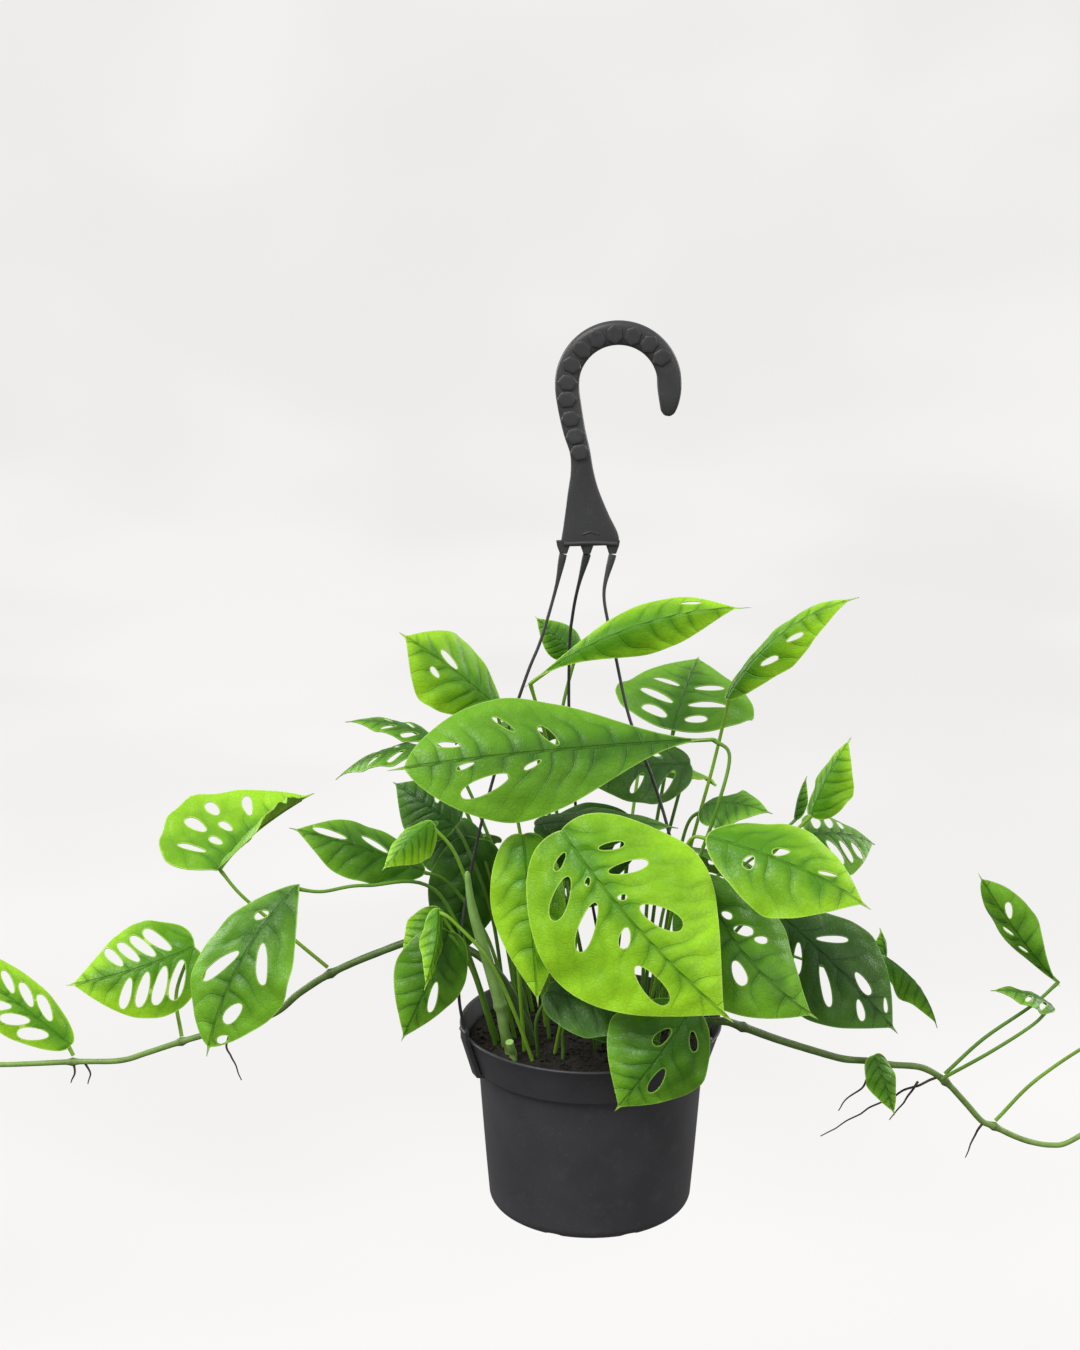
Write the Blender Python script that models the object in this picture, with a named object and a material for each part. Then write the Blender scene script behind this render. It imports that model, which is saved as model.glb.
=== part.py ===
"""A Monstera adansonii in a plastic hanging pot, held up by a one-piece moulded hanger.

The origin is the inner crown of the hook, where the bar or nail that holds the pot touches it.
Places on the plant and the pot are written in millimetres about the middle of the pot's rim,
with x to the right, y away from the viewer and z up.
"""

import math
import random
from dataclasses import dataclass

import bpy
from mathutils import Vector
from mathutils.geometry import delaunay_2d_cdt

MM = 0.001

# Where the middle of the rim lies from the hook's inner crown
RIM_CENTRE = Vector((-0.013, 0.0, -0.387))

# Gap that touching pieces keep
GAP = 0.3

# Pot
RIM_RADIUS = 75.0
LIP_HEIGHT = 22.0
LIP_BOTTOM_RADIUS = 68.0
BODY_TOP_RADIUS = 64.5
BODY_BOTTOM_RADIUS = 58.5
POT_HEIGHT = 111.0
CORNER_RADIUS = 7.0
WALL = 1.8
FLOOR_RAISE = 3.0
FOOT_COUNT = 8
FOOT_WIDTH = 4.0
FOOT_NOTCH_WIDTH = 11.0
DRAIN_RADIUS = 4.0
DRAIN_COUNT = 4
DRAIN_RING = 34.0
POT_SIDES = 28
SOIL_SIDES = 14

# Soil
SOIL_TOP = -10.0
SOIL_BUMP = 1.6
SOIL_SEED = 11
STEM_DEPTH = 17.0

# Hanger
HOOK_INNER_RADIUS = 21.0
HOOK_BAND = 13.0
HOOK_THICKNESS = 8.0
HOOK_CENTRE = (13.0, 0.0, 366.0)
STRAND_RADIUS = 0.9
CLIP_WIDTH = 9.0

# Leaves
BLADE_THICKNESS = 0.7
BODY_SHARE = 0.95
DRIP_TAPER = 0.24
NARROWEST = 0.5
PETIOLE_RADIUS = 1.15
TUBE_SIDES = 5
PETIOLE_SIDES = 4


def at(x, y, z):
    """A place given in millimetres about the rim's centre, in metres from the hook's crown."""
    return RIM_CENTRE + Vector((x, y, z)) * MM


# Materials

def make_material(name, colour, roughness):
    material = bpy.data.materials.new(name)
    material.use_nodes = True
    shader = material.node_tree.nodes["Principled BSDF"]
    shader.inputs["Base Color"].default_value = (*colour, 1.0)
    shader.inputs["Roughness"].default_value = roughness
    shader.inputs["Metallic"].default_value = 0.0
    return material


# Meshes

def new_object(name, points, faces, material):
    """A smooth-shaded mesh object from points in metres."""
    mesh = bpy.data.meshes.new(name)
    mesh.from_pydata([tuple(p) for p in points], [], faces)
    mesh.materials.append(material)
    mesh.shade_smooth()
    mesh.set_sharp_from_angle(angle=math.radians(40.0))
    made = bpy.data.objects.new(name, mesh)
    bpy.context.scene.collection.objects.link(made)
    return made


def boolean(base, others, operation, solver="EXACT"):
    """Joins the other objects to the base, or cuts them from it, and removes them."""
    group = bpy.data.collections.new(base.name + "_tools")
    for other in others:
        group.objects.link(other)
    modifier = base.modifiers.new("join_or_cut", "BOOLEAN")
    modifier.operation = operation
    modifier.operand_type = "COLLECTION"
    modifier.collection = group
    modifier.solver = solver
    graph = bpy.context.evaluated_depsgraph_get()
    mesh = bpy.data.meshes.new_from_object(base.evaluated_get(graph))
    base.modifiers.clear()
    base.data = mesh
    for other in others:
        bpy.data.objects.remove(other)
    bpy.data.collections.remove(group)
    return base


def rings_to_object(name, rings, material, closed=False):
    """A skin over rings of equally many points, with a flat fan over each end, or closed as a torus."""
    count = len(rings[0])
    points = [point for ring in rings for point in ring]
    faces = []
    last = len(rings) if closed else len(rings) - 1
    for i in range(last):
        a = i * count
        b = ((i + 1) % len(rings)) * count
        for k in range(count):
            n = (k + 1) % count
            faces.append((a + k, a + n, b + n, b + k))
    if not closed:
        faces.append(tuple(reversed(range(count))))
        faces.append(tuple(range((len(rings) - 1) * count, len(rings) * count)))
    return new_object(name, points, faces, material)


def smooth_route(route, steps):
    """Points along a Catmull-Rom curve through the route, with so many steps to each stretch."""
    ends = [2 * route[0] - route[1], *route, 2 * route[-1] - route[-2]]
    points = []
    for i in range(1, len(ends) - 2):
        before, a, b, after = ends[i - 1 : i + 3]
        for k in range(steps):
            t = k / steps
            points.append(
                0.5
                * (
                    2 * a
                    + (b - before) * t
                    + (2 * before - 5 * a + 4 * b - after) * t**2
                    + (3 * a - before - 3 * b + after) * t**3
                )
            )
    points.append(ends[-2])
    return points


def along(values, t):
    """The value at t, from 0 to 1, along evenly spaced values."""
    place = t * (len(values) - 1)
    low = min(int(place), len(values) - 2)
    return values[low] + (values[low + 1] - values[low]) * (place - low)


def tube(name, points, radii, sides, material):
    """A round tube along points in metres, whose radius in millimetres runs through the given values."""
    tangent = (points[1] - points[0]).normalized()
    across = tangent.orthogonal().normalized()
    rings = []
    for i, point in enumerate(points):
        before = points[max(i - 1, 0)]
        after = points[min(i + 1, len(points) - 1)]
        tangent = (after - before).normalized()
        across = (across - tangent * across.dot(tangent)).normalized()
        other = tangent.cross(across)
        radius = along(radii, i / (len(points) - 1)) * MM
        turns = [math.tau * k / sides for k in range(sides)]
        rings.append([point + (across * math.cos(a) + other * math.sin(a)) * radius for a in turns])
    return rings_to_object(name, rings, material)


def turned(name, profile, sides, material, closed=False):
    """A shape turned about the pot's axis from (radius, height) pairs, listed so that it faces out."""
    rings = []
    for radius, height in profile:
        turns = [math.tau * k / sides for k in range(sides)]
        rings.append([at(radius * math.cos(a), radius * math.sin(a), height) for a in turns])
    return rings_to_object(name, rings, material, closed)


# Pot and soil

def corner(radius, height, size, first, last, steps):
    """Points round a corner's arc, as (radius, height), between two angles in degrees."""
    arc = []
    for k in range(steps + 1):
        angle = math.radians(first + (last - first) * k / steps)
        arc.append((radius + size * math.cos(angle), height + size * math.sin(angle)))
    return arc


def make_pot(material):
    floor = -POT_HEIGHT + FLOOR_RAISE
    outer_corner = corner(
        BODY_BOTTOM_RADIUS - CORNER_RADIUS, -POT_HEIGHT + CORNER_RADIUS, CORNER_RADIUS, -90.0, 0.0, 3
    )
    inner_corner = corner(
        BODY_BOTTOM_RADIUS - CORNER_RADIUS,
        floor + WALL + CORNER_RADIUS - WALL,
        CORNER_RADIUS - WALL,
        0.0,
        -90.0,
        2,
    )
    foot_inside = BODY_BOTTOM_RADIUS - CORNER_RADIUS - FOOT_WIDTH
    profile = [
        (0.6, floor),
        (foot_inside, floor),
        (foot_inside, -POT_HEIGHT),
        *outer_corner,
        (BODY_TOP_RADIUS, -LIP_HEIGHT - 0.6),
        (LIP_BOTTOM_RADIUS, -LIP_HEIGHT),
        (RIM_RADIUS - 0.8, -3.0),
        (RIM_RADIUS, -1.5),
        (RIM_RADIUS - 0.5, 0.0),
        (RIM_RADIUS - WALL, 0.0),
        (RIM_RADIUS - WALL - 0.8, -3.0),
        (LIP_BOTTOM_RADIUS - WALL, -LIP_HEIGHT + WALL),
        (BODY_TOP_RADIUS - WALL, -LIP_HEIGHT - 0.6),
        *inner_corner,
        (0.6, floor + WALL),
    ]
    pot = turned("pot", profile, POT_SIDES, material, closed=True)
    plug = turned("axis_plug", [(5.0, floor), (5.0, floor + WALL)], 12, material)
    boolean(pot, [plug], "UNION")
    cutters = []
    for k in range(FOOT_COUNT):
        angle = math.tau * (k + 0.5) / FOOT_COUNT
        cutters.append(foot_notch(angle, material))
    for k in range(DRAIN_COUNT):
        angle = math.tau * k / DRAIN_COUNT
        hole_at = (DRAIN_RING * math.cos(angle), DRAIN_RING * math.sin(angle))
        cutters.append(upright_prism(hole_at, floor - 1.0, floor + WALL + 1.0, DRAIN_RADIUS, 6, material))
    return boolean(pot, cutters, "DIFFERENCE")


def foot_notch(angle, material):
    """A block that cuts one gap between two feet out of the ring under the base."""
    inner = BODY_BOTTOM_RADIUS - CORNER_RADIUS - 7.0
    outer = BODY_BOTTOM_RADIUS + 4.0
    half = FOOT_NOTCH_WIDTH / 2
    out = Vector((math.cos(angle), math.sin(angle)))
    side = Vector((-out.y, out.x))
    corners = [out * inner - side * half, out * outer - side * half]
    corners += [out * outer + side * half, out * inner + side * half]
    levels = (-POT_HEIGHT - 2.0, -POT_HEIGHT + FLOOR_RAISE - 0.4)
    rings = [[at(c.x, c.y, z) for c in corners] for z in levels]
    return rings_to_object("notch", rings, material)


def upright_prism(place, low, high, radius, sides, material):
    turns = [math.tau * (k + 0.5) / sides for k in range(sides)]
    rings = []
    for z in (low, high):
        rings.append([at(place[0] + radius * math.cos(a), place[1] + radius * math.sin(a), z) for a in turns])
    return rings_to_object("prism", rings, material)


def make_soil(holes, material):
    """The peat that fills the pot, with a plain hole for each stem: (x, y, radius)."""
    draw = random.Random(SOIL_SEED)
    floor = -POT_HEIGHT + FLOOR_RAISE + WALL + GAP
    inside = WALL + GAP + 0.1
    lip_slope = (RIM_RADIUS - 0.8 - LIP_BOTTOM_RADIUS) / (LIP_HEIGHT - 3.0)
    top_radius = LIP_BOTTOM_RADIUS - 0.3 - inside + lip_slope * (SOIL_TOP + LIP_HEIGHT - WALL)
    profile = [
        (0.8, floor),
        (BODY_BOTTOM_RADIUS - CORNER_RADIUS - 1.0, floor),
        (BODY_BOTTOM_RADIUS - inside, floor + CORNER_RADIUS),
        (BODY_TOP_RADIUS - inside, -LIP_HEIGHT - 0.4),
        (LIP_BOTTOM_RADIUS - inside - 0.1, -LIP_HEIGHT + WALL + 0.4),
        (top_radius, SOIL_TOP - 1.5),
        (top_radius - 4.0, SOIL_TOP),
        (50.0, SOIL_TOP + 1.0),
        (36.0, SOIL_TOP + 1.5),
        (20.0, SOIL_TOP + 1.5),
        (0.8, SOIL_TOP + 1.0),
    ]
    soil = turned("soil", profile, SOIL_SIDES, material)
    for vertex in soil.data.vertices:
        place = (vertex.co - RIM_CENTRE) / MM
        flat = math.hypot(place.x, place.y)
        if place.z > SOIL_TOP - 1.0 and 5.0 < flat < top_radius - 2.0:
            vertex.co.z += draw.uniform(-SOIL_BUMP, SOIL_BUMP) * MM
    bottom = SOIL_TOP - STEM_DEPTH - GAP
    cutters = []
    for x, y, radius in holes:
        sides = 4 if radius < 2.0 else 6
        clear = (radius + GAP) / math.cos(math.pi / sides)
        cutters.append(upright_prism((x, y), bottom, SOIL_TOP + 12.0, clear, sides, material))
    return boolean(soil, cutters, "DIFFERENCE")


# Hanger

def hook_section(place, along_band, width, thickness):
    """A ring round the flat moulded band: a rectangle with its four long edges taken off."""
    out = Vector((along_band.z, 0.0, -along_band.x))
    half, deep = width / 2, thickness / 2
    cut = min(2.0, half * 0.6, deep * 0.6)
    outline = [
        (half, deep - cut),
        (half - cut, deep),
        (-half + cut, deep),
        (-half, deep - cut),
        (-half, -deep + cut),
        (-half + cut, -deep),
        (half - cut, -deep),
        (half, -deep + cut),
    ]
    return [at(*(place + out * a + Vector((0.0, b, 0.0)))) for a, b in outline]


def hook_line():
    """The middle of the band from the tip round to the foot of the plate: (place, width, thickness)."""
    centre = Vector(HOOK_CENTRE)
    radius = HOOK_INNER_RADIUS + HOOK_BAND / 2
    line = [
        (centre + Vector((26.5, 0.0, -16.5)), 5.0, 5.0),
        (centre + Vector((26.8, 0.0, -14.5)), 8.0, 6.5),
        (centre + Vector((27.4, 0.0, -9.0)), 11.0, HOOK_THICKNESS),
    ]
    for k in range(11):
        angle = math.radians(-4.0 + 188.0 * k / 10)
        turn = Vector((math.cos(angle), 0.0, math.sin(angle)))
        line.append((centre + turn * radius, HOOK_BAND, HOOK_THICKNESS))
    line += [
        (Vector((-13.0, 0.0, 353.0)), 12.8, HOOK_THICKNESS),
        (Vector((-10.4, 0.0, 340.0)), 12.0, HOOK_THICKNESS),
        (Vector((-7.4, 0.0, 329.0)), 11.0, 7.0),
        (Vector((-6.2, 0.0, 318.0)), 12.5, 5.5),
        (Vector((-5.4, 0.0, 306.0)), 17.5, 4.5),
        (Vector((-3.6, 0.0, 292.0)), 25.0, 4.0),
        (Vector((-2.0, 0.0, 281.5)), 31.5, 4.0),
        (Vector((-1.8, 0.0, 277.5)), 31.0, 4.0),
    ]
    return line


def make_hook(material):
    line = hook_line()
    rings = []
    for i, (place, width, thickness) in enumerate(line):
        before = line[max(i - 1, 0)][0]
        after = line[min(i + 1, len(line) - 1)][0]
        rings.append(hook_section(place, (after - before).normalized(), width, thickness))
    hook = rings_to_object("hanger_hook", rings, material)
    joined = [grip_pad(k, material) for k in range(10)]
    sleeves = ((-16.2, 0.0, 8.0), (-3.4, 0.0, 8.0), (10.6, 0.0, 8.0))
    for x, y, size in sleeves:
        joined.append(strand_socket(x, y, size, material))
    return boolean(hook, joined, "UNION")


def grip_pad(k, material):
    """One of the raised six-sided grip pads on the front of the band."""
    centre = Vector(HOOK_CENTRE)
    angle = math.radians(22.0 + 17.6 * k)
    radius = HOOK_INNER_RADIUS + HOOK_BAND / 2
    place = centre + Vector((math.cos(angle), 0.0, math.sin(angle))) * radius
    run = Vector((-math.sin(angle), 0.0, math.cos(angle)))
    out = Vector((math.cos(angle), 0.0, math.sin(angle)))
    if k == 9:
        place = Vector((-11.2, 0.0, 345.0))
        run = Vector((0.26, 0.0, -0.966))
        out = Vector((-0.966, 0.0, -0.26))
    rings = []
    for depth, scale in ((-HOOK_THICKNESS / 2 + 1.0, 1.0), (-HOOK_THICKNESS / 2 - 0.9, 0.86)):
        ring = []
        for j in range(6):
            turn = math.tau * j / 6
            spot = place + (run * math.cos(turn) * 4.6 + out * math.sin(turn) * 5.0) * scale
            ring.append(at(spot.x, depth, spot.z))
        rings.append(ring)
    return rings_to_object("pad", rings, material)


def strand_socket(x, y, size, material):
    """The thick tapered root of one strand under the plate's lower edge."""
    rings = []
    for z, half in ((279.0, size / 2), (273.0, size / 2 - 1.2)):
        rings.append([at(x + dx * half, y + dy * 1.8, z) for dx, dy in ((-1, -1), (1, -1), (1, 1), (-1, 1))])
    return rings_to_object("socket", rings, material)


# The strands' routes, from under the plate down to the outside of the rim
STRAND_ROUTES = {
    "strand_left": [
        (-16.4, 0, 272.3), (-20.5, -2, 253), (-28.5, -7, 226), (-36.5, -10, 206), (-52, -15, 159),
        (-65, -21, 109), (-72.5, -26, 64), (-74.5, -28, 28), (-74.0, -28.5, 3.5),
    ],
    "strand_back": [
        (-3.4, 0, 272.3), (-8.5, 5, 251), (-11, 11, 235), (-12.5, 16, 217), (-12.5, 28, 171),
        (-9, 42, 119), (-1, 60, 64), (6, 76, 20), (8, 79.5, 3.5),
    ],
    "strand_right": [
        (10.6, 0, 272.3), (6, -4, 253), (8, -8, 237), (11.5, -12, 222), (20, -20, 185),
        (34, -28, 149), (44, -35, 114), (55, -42, 58), (64, -46, 20), (66.0, -44.6, 3.5),
    ],
}


def clip_object(name, angle, material):
    """The flat clip at a strand's foot: it stands outside the lip, with a tooth under its lower edge."""
    out = Vector((math.cos(angle), math.sin(angle)))
    side = Vector((-out.y, out.x))
    lean = (RIM_RADIUS - LIP_BOTTOM_RADIUS) / LIP_HEIGHT
    rings = []
    outline = [
        (RIM_RADIUS + GAP, 5.0),
        (RIM_RADIUS + GAP, -1.0),
        (LIP_BOTTOM_RADIUS + GAP + 0.5, -LIP_HEIGHT - GAP + 1.0),
        (LIP_BOTTOM_RADIUS + GAP + 0.2, -LIP_HEIGHT - GAP),
        (BODY_TOP_RADIUS + 2 * GAP, -LIP_HEIGHT - 3 * GAP),
        (BODY_TOP_RADIUS + 2 * GAP, -LIP_HEIGHT - 3.0),
        (LIP_BOTTOM_RADIUS + 2.4 + lean, -LIP_HEIGHT - 2.0),
        (RIM_RADIUS + 2.6, -1.0),
        (RIM_RADIUS + 2.6, 5.0),
    ]
    for offset in (-CLIP_WIDTH / 2, CLIP_WIDTH / 2):
        ring = []
        for radius, z in outline:
            spot = out * radius + side * offset
            ring.append(at(spot.x, spot.y, z))
        rings.append(ring)
    return rings_to_object(name, rings, material)


def make_strand(name, material):
    route = [Vector(place) for place in STRAND_ROUTES[name]]
    foot = route[-1]
    angle = math.atan2(foot.y, foot.x)
    reach = RIM_RADIUS + GAP + 1.3
    route[-1] = Vector((reach * math.cos(angle), reach * math.sin(angle), foot.z))
    points = smooth_route([at(*place) for place in route], 2)
    strand = tube(name, points, [2.2, 1.3] + [STRAND_RADIUS] * 8, 6, material)
    return boolean(strand, [clip_object("clip", angle, material)], "UNION")


# Leaves

@dataclass
class Leaf:
    """One leaf: places in millimetres, angles in degrees.

    face is the way its upper side looks. fold is how far each half drops from the midrib and cup
    how much further it has dropped at the margin; bow lifts the middle of the midrib and droop
    lowers its last third. belly is where along it the blade is widest and lobe how far its two
    shoulders reach back past the stalk; a smaller point is blunter and a larger neck draws the
    blade out by its stalk. Each hole is (share, reach, share, reach, girth): its inner and its
    outer end, as shares of the length and of half the width, left of the midrib above zero, and
    its width in millimetres.
    """

    base: tuple
    tip: tuple
    width: float
    face: tuple
    route: tuple
    holes: tuple = ()
    fold: float = 12.0
    cup: float = 18.0
    bow: float = 5.0
    droop: float = 0.0
    sweep: float = 0.0
    twist: float = 0.0
    wave: float = 1.5
    belly: float = 0.38
    lobe: float = 0.05
    point: float = 0.3
    neck: float = 0.72
    tone: str = "green"
    stem: str = ""


def rule_holes(per_side, girth, inner=0.2, outer=0.74):
    """Holes in a row on each side of the midrib, slanting forward and smaller towards the tip."""
    holes = []
    for side in (1, -1):
        for k in range(per_side):
            start = 0.1 + 0.52 * (k + (0.2 if side > 0 else 0.5)) / per_side
            room = 1.0 - 0.6 * max(0.0, start - 0.2)
            size = girth * (1.0 - 0.35 * k / per_side)
            holes.append((start, side * inner, start + 0.15 * room, side * outer * room, size))
    return tuple(holes)


def half_width(leaf, share):
    """Half the blade's width at a share of its length: a full body and a short narrow drip tip."""
    if share <= 0.0 or share >= 1.0:
        return 0.0
    swell = math.log(0.5) / math.log(leaf.belly)
    drip = DRIP_TAPER * (1.0 - share) if share > 0.8 else 0.0
    if share >= BODY_SHARE:
        return leaf.width * drip
    body = share / BODY_SHARE
    full = math.sin(math.pi * body**swell) ** (leaf.neck + leaf.point * body)
    return leaf.width * max(full / 2, drip)


def leaf_frame(leaf):
    base, tip = Vector(leaf.base), Vector(leaf.tip)
    length = (tip - base).length
    forward = (tip - base) / length
    face = Vector(leaf.face)
    face = (face - forward * face.dot(forward)).normalized()
    return base, length, forward, face, face.cross(forward)


def on_leaf(leaf, run, lateral):
    """The place on the bent blade of a flat point: run along the midrib and lateral across it."""
    base, length, forward, face, left = leaf_frame(leaf)
    share = run / length
    tail = max(0.0, (share - 0.6) / 0.4)
    rise = leaf.bow * 4 * share * (1 - share) - leaf.droop * tail**2
    slope = leaf.bow * 4 * (1 - 2 * share) / length - leaf.droop * 2 * tail / 0.4 / length
    shift = leaf.sweep * 4 * share * (1 - share)
    skew = leaf.sweep * 4 * (1 - 2 * share) / length
    along_rib = (forward + face * slope + left * skew).normalized()
    up = (face - along_rib * face.dot(along_rib)).normalized()
    across = up.cross(along_rib)
    turn = math.radians(leaf.twist) * share
    up, across = (
        up * math.cos(turn) - across * math.sin(turn),
        across * math.cos(turn) + up * math.sin(turn),
    )
    reach = abs(lateral) / (leaf.width / 2)
    drop = math.radians(leaf.fold + leaf.cup * reach / 2)
    ripple = leaf.wave * reach**2 * math.sin(2 * math.pi * (2.3 * share + 0.23 * (1 if lateral > 0 else 3)))
    place = base + forward * run + face * rise + left * shift
    return place + across * (lateral * math.cos(drop)) + up * (ripple - abs(lateral) * math.sin(drop))


def hole_outline(leaf, hole, length):
    """A long rounded hole between its two ends, in the flat blade."""
    half_blade = leaf.width / 2
    near = Vector((hole[0] * length, hole[1] * half_blade))
    far = Vector((hole[2] * length, hole[3] * half_blade))
    girth = hole[4]
    half = (far - near).length / 2
    forward = (far - near).normalized()
    across = Vector((-forward.y, forward.x))
    count = 8 if half > 8.0 and girth > 6.5 else 6 if half > 7.0 else 5 if half > 4.0 else 4
    points = []
    for k in range(count):
        turn = math.tau * k / count
        swell = 1.0 + 0.2 * math.cos(turn)
        points.append(
            (near + far) / 2
            + forward * (half * math.cos(turn))
            + across * (girth / 2 * math.sin(turn) * swell)
        )
    return points


def blade_outline(leaf, length):
    """The blade's margin in the flat: up one side from the base to the tip and back down the other."""
    steps = 5 if length < 46 else 6 if length < 90 else 9
    shares = [0.5 - 0.5 * math.cos(math.pi * (k + 0.5) / (steps + 0.3)) for k in range(steps)]
    one = []
    for share in shares:
        wide = half_width(leaf, share)
        if wide < NARROWEST:
            continue
        back = leaf.lobe * max(0.0, 1.0 - share / 0.3) ** 2 * min(1.0, wide / (0.3 * leaf.width))
        one.append(Vector(((share - back) * length, wide)))
    other = [Vector((p.x, -p.y)) for p in reversed(one)]
    return [Vector((0.0, 0.0)), *one, Vector((length, 0.0)), *other]


def inside(point, loop):
    """Whether a flat point lies inside a closed loop of points."""
    found = False
    for i, a in enumerate(loop):
        b = loop[i - 1]
        if (a.y > point.y) != (b.y > point.y):
            if point.x < (b.x - a.x) * (point.y - a.y) / (b.y - a.y) + a.x:
                found = not found
    return found


def flat_blade(leaf, length):
    """The flat blade's points and triangles, with its holes cut out and an edge along the midrib."""
    outline = blade_outline(leaf, length)
    loops = [outline, *(hole_outline(leaf, hole, length) for hole in leaf.holes)]
    points, edges = [], []
    for loop in loops:
        first = len(points)
        points += loop
        edges += [(first + k, first + (k + 1) % len(loop)) for k in range(len(loop))]
    ribs = max(3, round(length / 18.0))
    previous = 0
    for k in range(1, ribs):
        points.append(Vector((length * k / ribs, 0.0)))
        edges.append((previous, len(points) - 1))
        previous = len(points) - 1
    edges.append((previous, len(outline) // 2))
    points, _, faces, *_ = delaunay_2d_cdt(points, edges, [], 0, 1e-5)
    kept = []
    for face in faces:
        middle = sum((points[i] for i in face), Vector((0.0, 0.0))) / 3
        if inside(middle, outline) and not any(inside(middle, loop) for loop in loops[1:]):
            kept.append(tuple(face))
    return points, kept


def blade_object(name, leaf, material):
    """The blade as a thin closed sheet: its two sides and the rims round the margin and the holes."""
    length = leaf_frame(leaf)[1]
    flat, faces = flat_blade(leaf, length)
    used = sorted({i for face in faces for i in face})
    renumbered = {old: new for new, old in enumerate(used)}
    faces = [tuple(renumbered[i] for i in face) for face in faces]
    middle = [on_leaf(leaf, flat[i].x, flat[i].y) for i in used]
    normals = [Vector() for _ in middle]
    sides = []
    for a, b, c in faces:
        normal = (middle[b] - middle[a]).cross(middle[c] - middle[a])
        sides.append(normal.normalized())
        for i in (a, b, c):
            normals[i] += normal
    normals = [normal.normalized() for normal in normals]
    slack = [1.0] * len(middle)
    for face, side in zip(faces, sides):
        for i in face:
            slack[i] = min(slack[i], max(0.5, side.dot(normals[i])))
    half = BLADE_THICKNESS / 2
    upper = [p + n * half / s for p, n, s in zip(middle, normals, slack)]
    lower = [p - n * half / s for p, n, s in zip(middle, normals, slack)]
    count = len(middle)
    triangles = list(faces) + [(c + count, b + count, a + count) for a, b, c in faces]
    directed = {(f[k], f[(k + 1) % 3]) for f in faces for k in range(3)}
    for a, b in sorted(directed):
        if (b, a) not in directed:
            triangles.append((b, a, a + count))
            triangles.append((b, a + count, b + count))
    return new_object(name, [at(*p) for p in upper + lower], triangles, material)


def petiole_route(leaf):
    """The leaf stalk's places: from the soil or its stem, up to the blade and on under the midrib."""
    base, length, forward, face, _ = leaf_frame(leaf)
    under = BLADE_THICKNESS / 2 + 0.35
    start = [Vector(place) for place in leaf.route]
    if not leaf.stem:
        x, y = leaf.route[0]
        start = [
            Vector((x, y, SOIL_TOP - STEM_DEPTH)),
            Vector((x, y, SOIL_TOP + 5.0)),
            *(Vector(place) for place in leaf.route[1:]),
        ]
    ends = []
    for run in (0.02 * length + 0.8, min(9.0, 0.2 * length)):
        place = on_leaf(leaf, run, 0.0)
        ends.append(place - face * under)
    return start, ends


def make_leaf(name, leaf, materials):
    material = materials[leaf.tone]
    blade = blade_object(name, leaf, material)
    start, ends = petiole_route(leaf)
    through = smooth_route([at(*p) for p in start + ends[:1]], 2 if len(start) > 2 else 3)
    points = through + [at(*ends[1])]
    if not leaf.stem:
        points = [at(*start[0])] + [p for p in points[1:] if p.z > at(0, 0, SOIL_TOP).z]
    stalk = tube(name + "_stalk", points, [PETIOLE_RADIUS, PETIOLE_RADIUS, 0.9], PETIOLE_SIDES, material)
    return boolean(blade, [stalk], "UNION", "MANIFOLD")


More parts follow.
